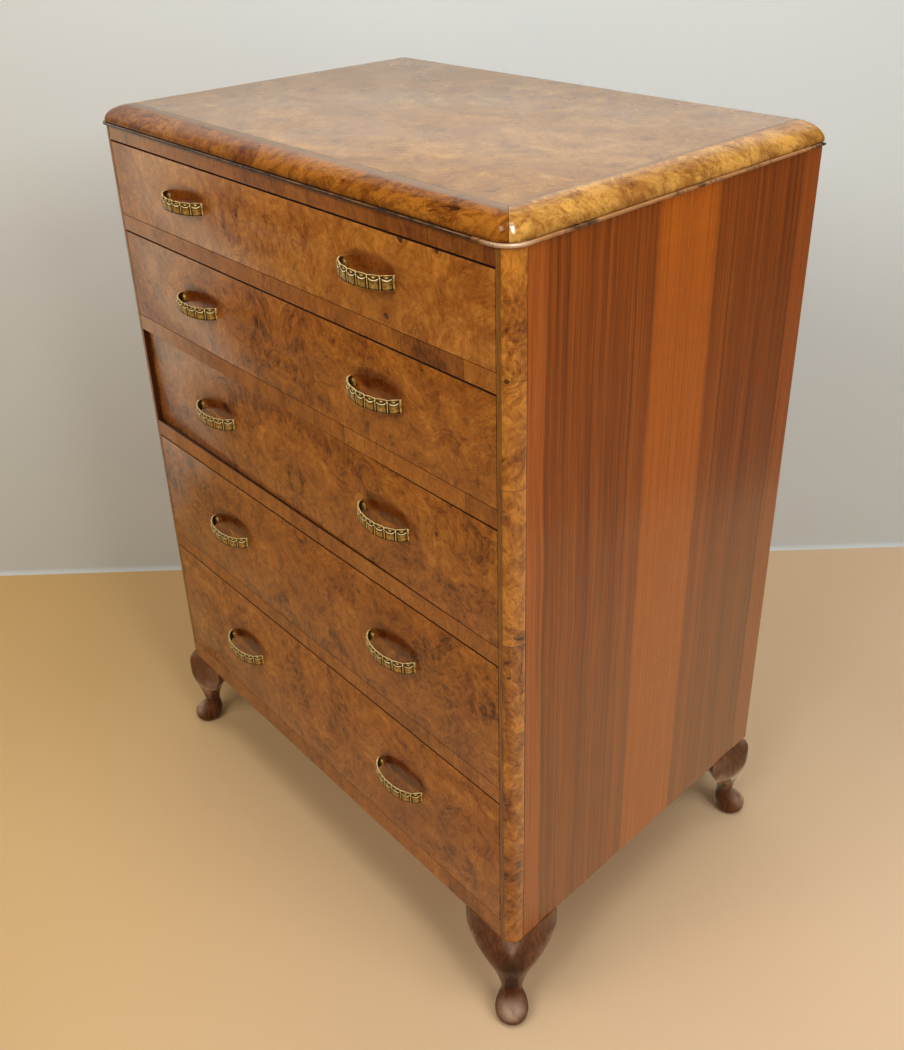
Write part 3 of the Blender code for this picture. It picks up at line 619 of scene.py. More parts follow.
LEGS = leg_wood("leg_walnut")
LIP = lip_wood("worn_lip")
STOCK_Y = plain_wood("drawer_stock_deep", "y", (0.50, 0.315, 0.160), (0.290, 0.165, 0.078))
STOCK_X = plain_wood("drawer_stock_wide", "x", (0.48, 0.300, 0.152), (0.275, 0.155, 0.074))
FRAME_Y = plain_wood("frame_stock", "y", (0.46, 0.285, 0.140), (0.25, 0.140, 0.064), 0.66)
PLY = plain_wood("thin_board", "x", (0.42, 0.265, 0.140), (0.255, 0.145, 0.070), 0.62)
BACK = plain_wood("back_board", "z", (0.36, 0.215, 0.110), (0.200, 0.110, 0.052), 0.66)
BRASS = brass("antique_brass")


# ---------------------------------------------------------------- mesh helpers
def pw(x, y, z):
    """A point of the case, in metres from its front plane and its underside, in the frame's own space."""
    return (x, y + FRONT_Y, z + LEG_H)


def skin(loops):
    """Vertices and faces of a skin through closed loops of equal length, capped at both ends."""
    count = len(loops[0])
    verts = [tuple(p) for loop in loops for p in loop]
    faces = []
    for r in range(len(loops) - 1):
        a, b = r * count, (r + 1) * count
        for i in range(count):
            j = (i + 1) % count
            faces.append((a + i, a + j, b + j, b + i))
    faces.append(tuple(reversed(range(count))))
    faces.append(tuple(range((len(loops) - 1) * count, len(loops) * count)))
    return verts, faces


def mesh_from(name, verts, faces, weld=0.0, angle=38.0):
    mesh = bpy.data.meshes.new(name)
    work = bmesh.new()
    made = [work.verts.new(v) for v in verts]
    for face in faces:
        work.faces.new([made[i] for i in face])
    if weld:
        bmesh.ops.remove_doubles(work, verts=work.verts, dist=weld)
    bmesh.ops.recalc_face_normals(work, faces=work.faces)
    if work.calc_volume(signed=True) < 0:
        bmesh.ops.reverse_faces(work, faces=work.faces)
    work.to_mesh(mesh)
    work.free()
    mesh.shade_smooth()
    mesh.set_sharp_from_angle(angle=math.radians(angle))
    return mesh


def piece(name, mesh, mats, body, replaced=(), place=None):
    obj = bpy.data.objects.new(name, mesh)
    bpy.context.scene.collection.objects.link(obj)
    if not mesh.materials:
        for mat in mats:
            mesh.materials.append(mat)
    if place is not None:
        obj.matrix_world = place
    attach(obj, body)
    if replaced:
        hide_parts(*replaced)
    return obj


def board(low, high, bevel=0.0003, segments=2):
    """A bmesh board between two corners, its edges eased."""
    low, high = Vector(low), Vector(high)
    work = bmesh.new()
    bmesh.ops.create_cube(work, size=1.0)
    bmesh.ops.scale(work, vec=high - low, verts=work.verts)
    bmesh.ops.translate(work, vec=(low + high) / 2, verts=work.verts)
    if bevel:
        bmesh.ops.bevel(work, geom=list(work.edges), offset=bevel, segments=segments, profile=0.5, affect="EDGES")
    return work


def finish_mesh(work, name, angle=38.0):
    mesh = bpy.data.meshes.new(name)
    work.to_mesh(mesh)
    work.free()
    mesh.shade_smooth()
    mesh.set_sharp_from_angle(angle=math.radians(angle))
    return mesh


def wander(x, y, z, scale, seed=0.0):
    return noise.noise(Vector((x * scale + seed, y * scale - seed, z * scale + 0.7 * seed)))


# ---------------------------------------------------------------- the top
def lip_outline(inset, z):
    """The lip's outline in plan, inset all round, with the small dents that years leave in a thin edge."""
    points = []
    r = CORNER_R - inset
    cx, cy = LIP_X - CORNER_R, -LIP_FRONT + CORNER_R
    back = TOP_BACK - inset
    ys = np.linspace(back, cy, 110)
    points += [(-(LIP_X - inset), y) for y in ys[:-1]]
    for i in range(25):
        a = math.radians(180 + 90 * i / 24)
        points.append((-cx + r * math.cos(a), cy + r * math.sin(a)))
    points += [(x, -LIP_FRONT + inset) for x in np.linspace(-cx, cx, 170)[1:-1]]
    for i in range(25):
        a = math.radians(270 + 90 * i / 24)
        points.append((cx + r * math.cos(a), cy + r * math.sin(a)))
    points += [(LIP_X - inset, y) for y in ys[::-1][1:]]
    made = []
    for x, y in points:
        worn = max(0.0, wander(x, y, 0, 55, 3.0)) ** 2 * 0.0012 + max(0.0, wander(x, y, 0, 160, 9.0) - 0.35) * 0.0016
        if y > TOP_BACK - 0.004:
            worn = 0.0
        away = Vector((x, y - 0.24))
        scale = 1 - worn / max(away.length, 0.01)
        made.append(pw(x * scale, 0.24 + (y - 0.24) * scale, z))
    return made


z0 = CASE_TOP
lip_loops = [
    lip_outline(inset, z0 + h)
    for inset, h in (
        (0.0016, 0.0), (0.0007, 0.00012), (0.0002, 0.0005), (0.0, 0.0011), (0.0, 0.0021), (0.0003, 0.0028),
        (0.0009, 0.0033), (0.0018, 0.0035),
    )
]
piece(
    "top_board_lip",
    mesh_from("top_board_lip", *skin(lip_loops), angle=60),
    [LIP],
    "case",
    ("top_panel",),
)
field = board(
    pw(-MOULD_X, MOULD_Y, CASE_TOP + LIP_T + 0.00005), pw(MOULD_X, TOP_BACK, CASE_TOP + TOP_T), 0.00022, 2
)
piece("top_board_field", finish_mesh(field, "top_board_field"), [TOP], "case", ("top_panel",))


def moulding_profile(reach):
    """Section of the edge moulding, from its inner edge outwards: (distance, height)."""
    high = TOP_T - LIP_T - GAP
    flat = reach * MOULD_FLAT
    points = [(0.0, 0.0), (0.0, high - 0.00018), (0.00018, high), (flat * 0.5, high), (flat, high)]
    steps = 30
    for i in range(1, steps + 1):
        t = math.radians(90 * i / steps)
        points.append(
            (
                flat + (reach - flat) * math.sin(t) ** (2 / MOULD_POWER),
                0.0016 + (high - 0.0016) * math.cos(t) ** (2 / MOULD_POWER),
            )
        )
    points += [(reach - 0.00008, 0.0008), (reach - 0.0005, 0.0002), (reach - 0.0011, 0.0)]
    return points


OUT_X = LIP_X - MOULD_SET
OUT_Y = -LIP_FRONT + MOULD_SET
MOULD_R = CORNER_R - MOULD_SET + 0.002
MOULD_LOW = CASE_TOP + LIP_T + GAP


def moulding_corner(s, part, steps=22):
    centre = Vector((OUT_X - MOULD_R, OUT_Y + MOULD_R))
    corner = Vector((MOULD_X + GAP, MOULD_Y - GAP))
    outers = [Vector((corner.x, OUT_Y))] if part == 0 else [Vector((OUT_X, corner.y))]
    begin = 270 if part == 0 else 360
    for i in range(steps + 1):
        a = math.radians(begin + (315 - begin) * i / steps)
        outers.append(centre + MOULD_R * Vector((math.cos(a), math.sin(a))))
    nudge = Vector((-1, -1)).normalized() * GAP * (0.5 if part == 0 else -0.5)
    loops = []
    for i, outer in enumerate(outers):
        inner = corner.copy()
        if i == len(outers) - 1:
            inner, outer = inner + nudge, outer + nudge
        elif i == 0:
            shift = Vector((nudge.x, 0)) if part == 0 else Vector((0, nudge.y))
            inner, outer = inner + 2 * shift, outer + 2 * shift
        else:
            inner = inner + nudge
        reach = (outer - inner).length
        along = (outer - inner).normalized()
        loops.append(
            [pw(s * (inner.x + along.x * d), inner.y + along.y * d, MOULD_LOW + h) for d, h in moulding_profile(reach)]
        )
    return loops


CHIPS = (
    # a chip in the lower edge by the front right corner, and two small dents: centre and radius
    ((OUT_X, 0.0150, MOULD_LOW + 0.0012), 0.0032),
    ((0.118, OUT_Y, MOULD_LOW + 0.0010), 0.0024),
    ((-0.226, OUT_Y, MOULD_LOW + 0.0010), 0.0020),
)


def worn(point):
    """A moulding's vertex, pushed in where the edge is chipped."""
    p = Vector(point)
    for centre, radius in CHIPS:
        away = (p - Vector(pw(*centre))).length
        if away < radius:
            depth = (1 - (away / radius) ** 2) * radius * 0.42
            middle = Vector((p.x, p.y)).normalized()
            p.x -= middle.x * depth
            p.y -= middle.y * depth
    return tuple(p)


def run_of(first, last, count, ease=1.0):
    """Sections between two sections, first and last left out."""
    made = []
    for k in range(1, count):
        t = k / count
        made.append([tuple(a + (b - a) * t for a, b in zip(p, q)) for p, q in zip(first, last)])
    return made


left_half = list(reversed(moulding_corner(-1, 0)))
right_half = moulding_corner(1, 0)
front_loops = left_half + run_of(left_half[-1], right_half[0], 60) + right_half
front_loops = [[worn(p) for p in loop] for loop in front_loops]
piece(
    "edge_moulding_front",
    mesh_from("edge_moulding_front", *skin(front_loops), angle=42),
    [MOULD_F],
    "case",
    ("top_moulding_front",),
)
for side, s in (("left", -1), ("right", 1)):
    corner_loops = moulding_corner(s, 1)
    reach = OUT_X - MOULD_X - GAP
    back_loop = [pw(s * (MOULD_X + GAP + d), TOP_BACK, MOULD_LOW + h) for d, h in moulding_profile(reach)]
    loops = [back_loop] + run_of(back_loop, corner_loops[0], 40) + corner_loops
    loops = [[worn(p) for p in loop] for loop in loops]
    piece(
        "edge_moulding_" + side,
        mesh_from("edge_moulding_" + side, *skin(loops), angle=42),
        [MOULD_S],
        "case",
        ("top_moulding_" + side,),
    )


# ---------------------------------------------------------------- corner posts
def post_mesh(s):
    e = 0.00045
    flat = SIDE_X - OPEN_X - POST_R
    plan = [(OPEN_X, POST_D), (OPEN_X, e), (OPEN_X + e * 0.3, e * 0.3), (OPEN_X + e, 0.0)]
    for i in range(21):
        a = math.radians(-90 + 90 * i / 20)
        plan.append((OPEN_X + flat + POST_R * math.cos(a), POST_R + POST_R * math.sin(a)))
    plan += [(SIDE_X, POST_D - 0.0004), (SIDE_X - 0.0004, POST_D)]
    top = CASE_TOP - GAP
    loops = [[pw(s * x, y, z) for x, y in plan] for z in [0.0] + list(np.linspace(0.02, top - 0.02, 24)) + [top]]
    mesh = mesh_from("post", *skin(loops), angle=50)
    for mat in (POST, INNER):
        mesh.materials.append(mat)
    # painted shade: the inner face, which only shows in the gap beside the drawers, takes the dark gap finish
    for face in mesh.polygons:
        if face.normal.x * s < -0.99:
            face.material_index = 1
    return mesh


for side, s in (("left", -1), ("right", 1)):
    piece("post_" + side, post_mesh(s), [POST], "case", ("corner_post_" + side,))


# ---------------------------------------------------------------- legs
LEG_SECTIONS = (
    # depth below the case; outward reach on the diagonal, inward reach, place of the greatest width; half
    # that width; squareness
    (0.0000, -0.0040, -0.0880, -0.0580, 0.0575, 1.12),
    (0.0100, 0.0028, -0.0840, -0.0580, 0.0578, 1.14),
    (0.0240, 0.0080, -0.0750, -0.0545, 0.0570, 1.20),
    (0.0380, 0.0094, -0.0650, -0.0490, 0.0523, 1.30),
    (0.0510, 0.0062, -0.0570, -0.0420, 0.0422, 1.40),
    (0.0640, 0.0010, -0.0480, -0.0340, 0.0298, 1.52),
    (0.0780, -0.0043, -0.0410, -0.0270, 0.0205, 1.70),
    (0.0910, -0.0084, -0.0360, -0.0240, 0.0153, 1.90),
    (0.1000, -0.0106, -0.0342, -0.0230, 0.0134, 2.00),
    (0.1070, -0.0124, -0.0338, -0.0231, 0.0134, 2.00),
    (0.1120, -0.0104, -0.0345, -0.0225, 0.0145, 2.00),
    (0.1170, -0.0032, -0.0352, -0.0192, 0.0168, 2.00),
    (0.1230, 0.0056, -0.0356, -0.0150, 0.0198, 2.00),
    (0.1300, 0.0099, -0.0347, -0.0124, 0.0214, 2.00),
    (0.1360, 0.0093, -0.0330, -0.0120, 0.0207, 2.00),
    (0.1405, 0.0060, -0.0290, -0.0118, 0.0185, 2.00),
    (0.1440, -0.0010, -0.0232, -0.0121, 0.0148, 2.00),
)
BLOCK = (0.0206, 0.0540)


def step(value, low, high):
    t = min(1.0, max(0.0, (value - low) / (high - low)))
    return t * t * (3 - 2 * t)


def smooth_through(xs, ys, at):
    """Monotone cubic through the points, so that nothing bulges past them."""
    xs, ys = np.array(xs, float), np.array(ys, float)
    h = np.diff(xs)
    d = np.diff(ys) / h
    m = np.zeros(len(xs))
    for i in range(1, len(xs) - 1):
        if d[i - 1] * d[i] > 0:
            w1, w2 = 2 * h[i] + h[i - 1], h[i] + 2 * h[i - 1]
            m[i] = (w1 + w2) / (w1 / d[i - 1] + w2 / d[i])
    m[0], m[-1] = d[0], d[-1]
    k = np.clip(np.searchsorted(xs, at) - 1, 0, len(h) - 1)
    t = (at - xs[k]) / h[k]
    return (
        ys[k] * (1 + 2 * t) * (1 - t) ** 2
        + m[k] * h[k] * t * (1 - t) ** 2
        + ys[k + 1] * t * t * (3 - 2 * t)
        + m[k + 1] * h[k] * t * t * (t - 1)
    )


def leg_geometry():
    """The leg for the corner that points along +X, -Y, from that corner, with each point's wear and painted highlight,
    and its painted shade.
    """
    table = np.array(LEG_SECTIONS)
    depths = np.unique(np.concatenate([
        np.linspace(0, 0.002, 3), np.linspace(0.002, 0.104, 62), np.linspace(0.104, 0.1405, 34),
        np.linspace(0.1405, 0.144, 6),
    ]))
    columns = [smooth_through(table[:, 0], table[:, k], depths) for k in range(1, 6)]
    out, across = Vector((1, -1)).normalized(), Vector((1, 1)).normalized()
    sides = 96
    loops, wear_and_highlight, shade = [], [], []
    for row, depth in enumerate(depths):
        outer, inner, widest, half, power = (c[row] for c in columns)
        loop = []
        for i in range(sides):
            angle = 2 * math.pi * i / sides
            c, s = math.cos(angle), math.sin(angle)
            span = (outer - widest) if c >= 0 else (widest - inner)
            u = widest + span * math.copysign(abs(c) ** (2 / power), c)
            v = half * math.copysign(abs(s) ** (2 / power), s) * 0.9995
            if c > 0 and power < 1.95:
                # the ridge between the two outer faces is rounded over, more so further down the knee
                soft = 0.16 * step(depth, 0.012, 0.045)
                q = abs(c) ** (2 / power)
                u -= span * soft * 0.5 * max(0.0, 1 - (abs(v) / half) / (2.2 * soft + 0.02)) ** 2 if soft > 0 else 0.0
            spot = out * u + across * v
            loop.append((spot.x, spot.y, -GAP - depth * (LEG_H - GAP) / LEG_H))
            # the ears' tips and lower edges are worn; the brow under the case's corner and the front of the ball get a
            # painted highlight
            tip = max(0.0, abs(s) ** 6)
            low = min(1.0, max(0.0, (depth - 0.022) / 0.016)) * min(1.0, max(0.0, (0.088 - depth) / 0.02))
            ball = math.exp(-(((depth - 0.1215) / 0.0075) ** 2)) * max(0.0, c) ** 1.5
            brow = 0.75 * math.exp(-(((depth - 0.003) / 0.007) ** 2)) * math.exp(-((s / 0.30) ** 2)) * (c > 0)
            wear_and_highlight.append(max(tip * (0.25 + 0.75 * low), brow) if depth < 0.095 else ball)
            # painted shade: the hollow down the middle of the knee is darkened, and the leg's inner side less so
            knee = step(depth, 0.008, 0.030) * step(depth, 0.106, 0.080)
            shade.append(knee * math.exp(-((s / 0.42) ** 2)) if c > 0 else 0.6 * knee)
        loops.append(loop)
    return loops, wear_and_highlight, shade


LEG_LOOPS, LEG_WEAR_AND_HIGHLIGHT, LEG_SHADE = leg_geometry()


def leg_mesh(x, y, turn):
    place = Matrix.Translation(Vector(pw(x, y, 0))) @ Matrix.Rotation(math.radians(turn), 4, "Z")
    loops = [[place @ Vector(p) for p in loop] for loop in LEG_LOOPS]
    verts, faces = skin(loops)
    mesh = bpy.data.meshes.new("cabriole_leg")
    work = bmesh.new()
    made = [work.verts.new(v) for v in verts]
    for face in faces:
        work.faces.new([made[i] for i in face])
    bmesh.ops.recalc_face_normals(work, faces=work.faces)
    if work.calc_volume(signed=True) < 0:
        bmesh.ops.reverse_faces(work, faces=work.faces)
    # the square block that the leg is cut from, glued up inside the case
    low, high = BLOCK
    block = board((-high, low, -0.006), (-low, high, OPENINGS[4][0] - BOTTOM_T - GAP), 0.0006)
    bmesh.ops.transform(block, matrix=place, verts=block.verts)
    index = {v: work.verts.new(v.co) for v in block.verts}
    for f in block.faces:
        work.faces.new([index[v] for v in f.verts])
    block.free()
    work.to_mesh(mesh)
    work.free()
    for layer, values in (("wear_and_highlight", LEG_WEAR_AND_HIGHLIGHT), ("shade", LEG_SHADE)):
        made = mesh.attributes.new(layer, "FLOAT", "POINT")
        made.data.foreach_set("value", values + [0.0] * (len(mesh.vertices) - len(values)))
    mesh.shade_smooth()
    mesh.set_sharp_from_angle(angle=math.radians(48))
    return mesh


for tag, x, y, turn in (
    ("front_right", SIDE_X, 0.0, 0),
    ("back_right", SIDE_X, CASE_D, 90),
    ("back_left", -SIDE_X, CASE_D, 180),
    ("front_left", -SIDE_X, 0.0, 270),
):
    piece("cabriole_" + tag, leg_mesh(x, y, turn), [LEGS], "case", ("leg_" + tag,))


# ---------------------------------------------------------------- handles
PANELS = 7


def relief(s, h):
    """The casting's relief at s across a panel and h up it, both from -1 to 1: (height in metres, 0 to 1)."""
    lobe = 0.00060 * (1 - abs(s) ** 2.6)
    groove = -0.00050 * math.exp(-(((1 - abs(s)) - 0.17) / 0.075) ** 2)
    ridge = 0.00060 * math.exp(-((1 - abs(s)) / 0.075) ** 2)
    swag_h = 0.80 - 0.52 * max(0.0, 1 - abs(s) ** 2.2)
    swag = 0.00055 * math.exp(-((h - swag_h) / 0.085) ** 2) * step(abs(s), 1.02, 0.90)
    well = -0.00075 * step(h, swag_h + 0.06, swag_h + 0.20) * step(abs(s), 0.92, 0.70) * step(h, 0.99, 0.90)
    bead = 0.00095 * math.exp(-((s / 0.30) ** 2 + ((h - 0.64) / 0.16) ** 2))
    rim = 0.00035 * step(h, 0.86, 0.96)
    foot = 0.00028 * step(h, -0.80, -0.90) - 0.00022 * math.exp(-((h + 0.74) / 0.05) ** 2)
    fade = step(h, swag_h + 0.12, swag_h - 0.02)
    return lobe * (0.35 + 0.65 * fade) + groove * fade + ridge + swag + well + bead + rim + foot


def gleam(s, h):
    """How much of the brown lacquer is worn off there, with a painted highlight along the band's top rim, from 0 to 1.
    """
    swag_h = 0.80 - 0.52 * max(0.0, 1 - abs(s) ** 2.2)
    fade = step(h, swag_h + 0.12, swag_h - 0.02)
    edge = 1 - abs(s)
    value = 0.40
    value += fade * 0.16 * (1 - abs(s) ** 1.6) * (0.6 - 0.4 * h)
    value -= 0.50 * math.exp(-((edge - 0.19) / 0.075) ** 2) * (0.25 + 0.75 * fade)
    value += 0.44 * math.exp(-(edge / 0.070) ** 2)
    value += 0.56 * math.exp(-((h - swag_h) / 0.070) ** 2)
    value -= 0.42 * math.exp(-((h - (swag_h + 0.17)) / 0.080) ** 2) * step(abs(s), 1.0, 0.86)
    value -= 0.22 * math.exp(-((h - (swag_h - 0.15)) / 0.050) ** 2) * step(abs(s), 1.0, 0.90)
    value += 0.40 * math.exp(-((s / 0.26) ** 2 + ((h - 0.64) / 0.15) ** 2))
    # painted highlight along the top rim
    value += 0.34 * step(h, 0.86, 0.96)
    value -= 0.30 * step(h, -0.70, -0.88)
    value += 0.34 * step(h, -0.90, -0.97)
    return min(1.0, max(0.0, value))


def handle_mesh():
    """The bow handle: a cast band of seven gadrooned panels on two round feet, with its studs and nuts.

    Its origin is on the drawer's face, in the middle of the handle, which stands out along -Y.
    """
    fine = np.linspace(0, math.pi, 6001)
    px, py = -HANDLE_A * np.cos(fine), -HANDLE_S * np.sin(fine)
    length = np.concatenate([[0], np.cumsum(np.hypot(np.diff(px), np.diff(py)))])
    total = length[-1]
    ends = 0.0022
    per = 18
    columns = [(0.0, 1.0), (ends * 0.5, 1.0)]
    width = (total - 2 * ends) / PANELS
    for k in range(PANELS):
        for i in range(per):
            columns.append((ends + width * (k + i / per), -1 + 2 * i / per))
    columns += [(total - ends, 1.0), (total - ends * 0.5, 1.0), (total, 1.0)]
    rows = 34
    loops, values = [], []
    peak = 0.00125
    for at, s in columns:
        t = float(np.interp(at, length, fine))
        base = Vector((-HANDLE_A * math.cos(t), -HANDLE_S * math.sin(t)))
        normal = Vector((-math.cos(t) / HANDLE_A, -math.sin(t) / HANDLE_S)).normalized()
        crest = BAND_H / 2 - 0.00085 * abs(s) ** 3
        loop = []

        def put(depth, z, value):
            spot = base - normal * depth
            loop.append((spot.x, min(spot.y, -GAP), z))
            values.append(value)

        for j in range(rows):
            h = -1 + 2 * j / (rows - 1)
            r = relief(s, h)
            round_off = 0.00045 * (abs(h) ** 14)
            z = -BAND_H / 2 + (crest + BAND_H / 2) * (h + 1) / 2
            put(max(0.0, peak - r) + round_off, z, gleam(s, h))
        # painted highlight, on bare metal: the band's top face is kept bright
        for depth, lower, value in ((0.0019, 0.0, 0.86 - 0.10 * abs(s)), (BAND_T - 0.0004, 0.00010, 0.66)):
            put(depth, crest - lower, value)
        for z in (crest - 0.0006, crest * 0.4, -BAND_H / 4, -BAND_H / 2 + 0.0006):
            put(BAND_T, z, 0.22)
        for depth, value in ((BAND_T - 0.0004, 0.3), (0.0019, 0.35)):
            put(depth, -BAND_H / 2 + 0.0001, value)
        loops.append(loop)
        if at < ends or at > total - ends:
            values[-len(loop):] = [0.75 * v for v in values[-len(loop):]]
    verts, faces = skin(loops)

    # feet, studs and round nuts, each turned about its own axis
    turned = [
        (0.0, -0.0032), (0.0034, -0.0032), (0.0043, -0.0029), (0.0047, -0.0023), (0.0048, -0.0010), (0.0048, -GAP),
        (STUD_R, -GAP), (STUD_R, FRONT_T + GAP), (NUT_R - 0.0003, FRONT_T + GAP), (NUT_R, FRONT_T + GAP + 0.0003),
        (NUT_R, FRONT_T + GAP + 0.0020), (NUT_R - 0.0008, FRONT_T + GAP + 0.0028), (STUD_R, FRONT_T + GAP + 0.0028),
        (STUD_R - 0.0002, FRONT_T + GAP + 0.0030), (0.0, FRONT_T + GAP + 0.0030),
    ]
    sides = 28
    for s in (-1, 1):
        start = len(verts)
        rings = []
        for r, y in turned:
            if r == 0.0:
                rings.append([len(verts)])
                verts.append((s * STUD_X, y, 0.0))
                values.append(0.5)
                continue
            ring = []
            for i in range(sides):
                a = 2 * math.pi * i / sides
                ring.append(len(verts))
                verts.append((s * STUD_X + r * math.cos(a), y, r * math.sin(a)))
                values.append(0.5 if y < 0 else 0.62)
            rings.append(ring)
        for a, b in zip(rings, rings[1:]):
            for i in range(sides):
                j = (i + 1) % sides
                if len(a) == 1:
                    faces.append((a[0], b[i], b[j]))
                elif len(b) == 1:
                    faces.append((a[i], b[0], a[j]))
                else:
                    faces.append((a[i], b[i], b[j], a[j]))
    mesh = bpy.data.meshes.new("bow_handle")
    mesh.from_pydata(verts, [], faces)
    attribute = mesh.attributes.new("rubbed_and_lit", "FLOAT", "POINT")
    attribute.data.foreach_set("value", values)
    work = bmesh.new()
    work.from_mesh(mesh)
    bmesh.ops.recalc_face_normals(work, faces=work.faces)
    work.to_mesh(mesh)
    work.free()
    mesh.shade_smooth()
    mesh.set_sharp_from_angle(angle=math.radians(55))
    mesh.materials.append(BRASS)
    return mesh


HANDLE = handle_mesh()


# ---------------------------------------------------------------- drawer fronts
def tail_outline(start, low, high, count, grow=0.0):
    pitch = (high - low) / count
    found = []
    for i in range(count):
        middle = low + pitch * (i + 0.5)
        tip = pitch / 2 - 0.0040 + grow
        root = tip - TAIL * TAIL_SLOPE
        found.append([
            (start, middle - root), (start - TAIL - grow, middle - tip),
            (start - TAIL - grow, middle + tip), (start, middle + root),
        ])
    return found


def hidden(work, name, mats):
    """A cutter, in the scene only while the cut is made."""
    mesh = bpy.data.meshes.new(name)
    work.to_mesh(mesh)
    work.free()
    for mat in mats:
        mesh.materials.append(mat)
    for face in mesh.polygons:
        face.material_index = 1
    obj = bpy.data.objects.new(name, mesh)
    bpy.context.scene.collection.objects.link(obj)
    return obj


def prism(outline, low, high):
    """A prism along X over an outline in y, z."""
    work = bmesh.new()
    rings = [[work.verts.new((x, y, z)) for y, z in outline] for x in (low, high)]
    count = len(outline)
    for i in range(count):
        j = (i + 1) % count
        work.faces.new((rings[0][i], rings[0][j], rings[1][j], rings[1][i]))
    work.faces.new(list(reversed(rings[0])))
    work.faces.new(rings[1])
    bmesh.ops.recalc_face_normals(work, faces=work.faces)
    return work


def drawer_place(n):
    turn = SKEW if n == SKEW_DRAWER else 0.0
    back_off = (OPEN_X - GAP_SIDE) * math.sin(-turn)
    spot = Vector((0.0, FRONT_Y + back_off, LEG_H + OPENINGS[n][0]))
    return Matrix.Translation(spot) @ Matrix.Rotation(turn, 4, "Z")


VENEER = 0.0011
for n, (low, high) in enumerate(OPENINGS):
    tag = "drawer_%d" % (n + 1)
    tall = high - low
    place = drawer_place(n)
    mats = [FRONTS[n], STOCK_X, SHADE]
    work = board((-OPEN_X + GAP_SIDE, 0.0, GAP_BELOW), (OPEN_X - GAP_SIDE, FRONT_T, tall - GAP_TOP), 0.0005, 3)
    bmesh.ops.bisect_plane(
        work, geom=list(work.verts) + list(work.edges) + list(work.faces), plane_co=(0, VENEER, 0), plane_no=(0, 1, 0)
    )
    for face in work.faces:
        face.material_index = 0 if face.calc_center_median().y < VENEER else 1
    mesh = bpy.data.meshes.new(tag + "_face")
    work.to_mesh(mesh)
    work.free()
    for mat in mats:
        mesh.materials.append(mat)
    middle = tall / 2 + HANDLE_UP
    side_low, side_high = GAP_BELOW, tall - SIDE_DROP
    groove_low = side_low + GROOVE_UP
    groove_high = groove_low + PLY_T + 2 * GAP
    in_x = BOX_X - BOX_T
    cutters = [board((-in_x - GROOVE_D, FRONT_T - 0.006, groove_low), (in_x + GROOVE_D, FRONT_T + 0.002, groove_high), 0)]
    for s in (-1, 1):
        xs = sorted((s * BOX_X, s * in_x))
        for four in tail_outline(FRONT_T + 0.001, side_low, side_high, TAILS[n], GAP):
            four = [
                (FRONT_T + GAP + 0.001, four[0][1]), (FRONT_T - TAIL, four[1][1]),
                (FRONT_T - TAIL, four[2][1]), (FRONT_T + GAP + 0.001, four[3][1]),
            ]
            cutters.append(prism(four, xs[0] - GAP, xs[1] + GAP))
        for e in (-1, 1):
            hole = bmesh.new()
            bmesh.ops.create_cone(
                hole, cap_ends=True, segments=20, radius1=STUD_R + GAP, radius2=STUD_R + GAP, depth=FRONT_T + 0.004
            )
            bmesh.ops.rotate(hole, matrix=Matrix.Rotation(math.pi / 2, 3, "X"), verts=hole.verts)
            bmesh.ops.translate(hole, vec=(s * HANDLE_X + e * STUD_X, FRONT_T / 2, middle), verts=hole.verts)
            cutters.append(hole)
    body = bpy.data.objects.new(tag + "_blank", mesh)
    bpy.context.scene.collection.objects.link(body)
    tools = []
    for k, cutter in enumerate(cutters):
        tool = hidden(cutter, "%s_cut_%d" % (tag, k), mats)
        tools.append(tool)
        mod = body.modifiers.new("cut", "BOOLEAN")
        mod.operation = "DIFFERENCE"
        mod.solver = "EXACT"
        mod.object = tool
    bpy.context.view_layer.update()
    mesh = bpy.data.meshes.new_from_object(body.evaluated_get(bpy.context.evaluated_depsgraph_get()))
    mesh.name = tag + "_face"
    for tool in tools + [body]:
        bpy.data.objects.remove(tool, do_unlink=True)
    for face in mesh.polygons:
        # painted shade: the upper edge, and the lower one, which only show in a gap, take the dark gap finish
        if abs(face.normal.z) > 0.8 and (face.center.z > tall - GAP_TOP - 0.0004 or face.center.z < GAP_BELOW + 0.0004):
            face.material_index = 2
    mesh.transform(place)
    mesh.shade_smooth()
    mesh.set_sharp_from_angle(angle=math.radians(30))
    piece(tag + "_face", mesh, mats, tag, (tag + "_front",))
    for side, s in (("left", -1), ("right", 1)):
        piece(
            "%s_bow_%s" % (tag, side),
            HANDLE,
            [BRASS],
            tag,
            ("%s_handle_%s" % (tag, side),),
            place @ Matrix.Translation((s * HANDLE_X, 0.0, middle)),
        )


# ---------------------------------------------------------------- the pieces kept from the frame
def keep(node, mat, bevel=0.0004):
    obj = NODES[node]
    for slot in obj.material_slots:
        slot.material = mat
    if not obj.material_slots:
        obj.data.materials.append(mat)
    weld = obj.modifiers.new("weld", "WELD")
    weld.merge_threshold = 0.00001
    flat = obj.modifiers.new("flat", "DECIMATE")
    flat.decimate_type = "DISSOLVE"
    flat.angle_limit = math.radians(0.5)
    if bevel:
        ease = obj.modifiers.new("eased", "BEVEL")
        ease.width = bevel
        ease.segments = 2
        ease.limit_method = "ANGLE"
        ease.angle_limit = math.radians(35)
        ease.harden_normals = False
    return obj


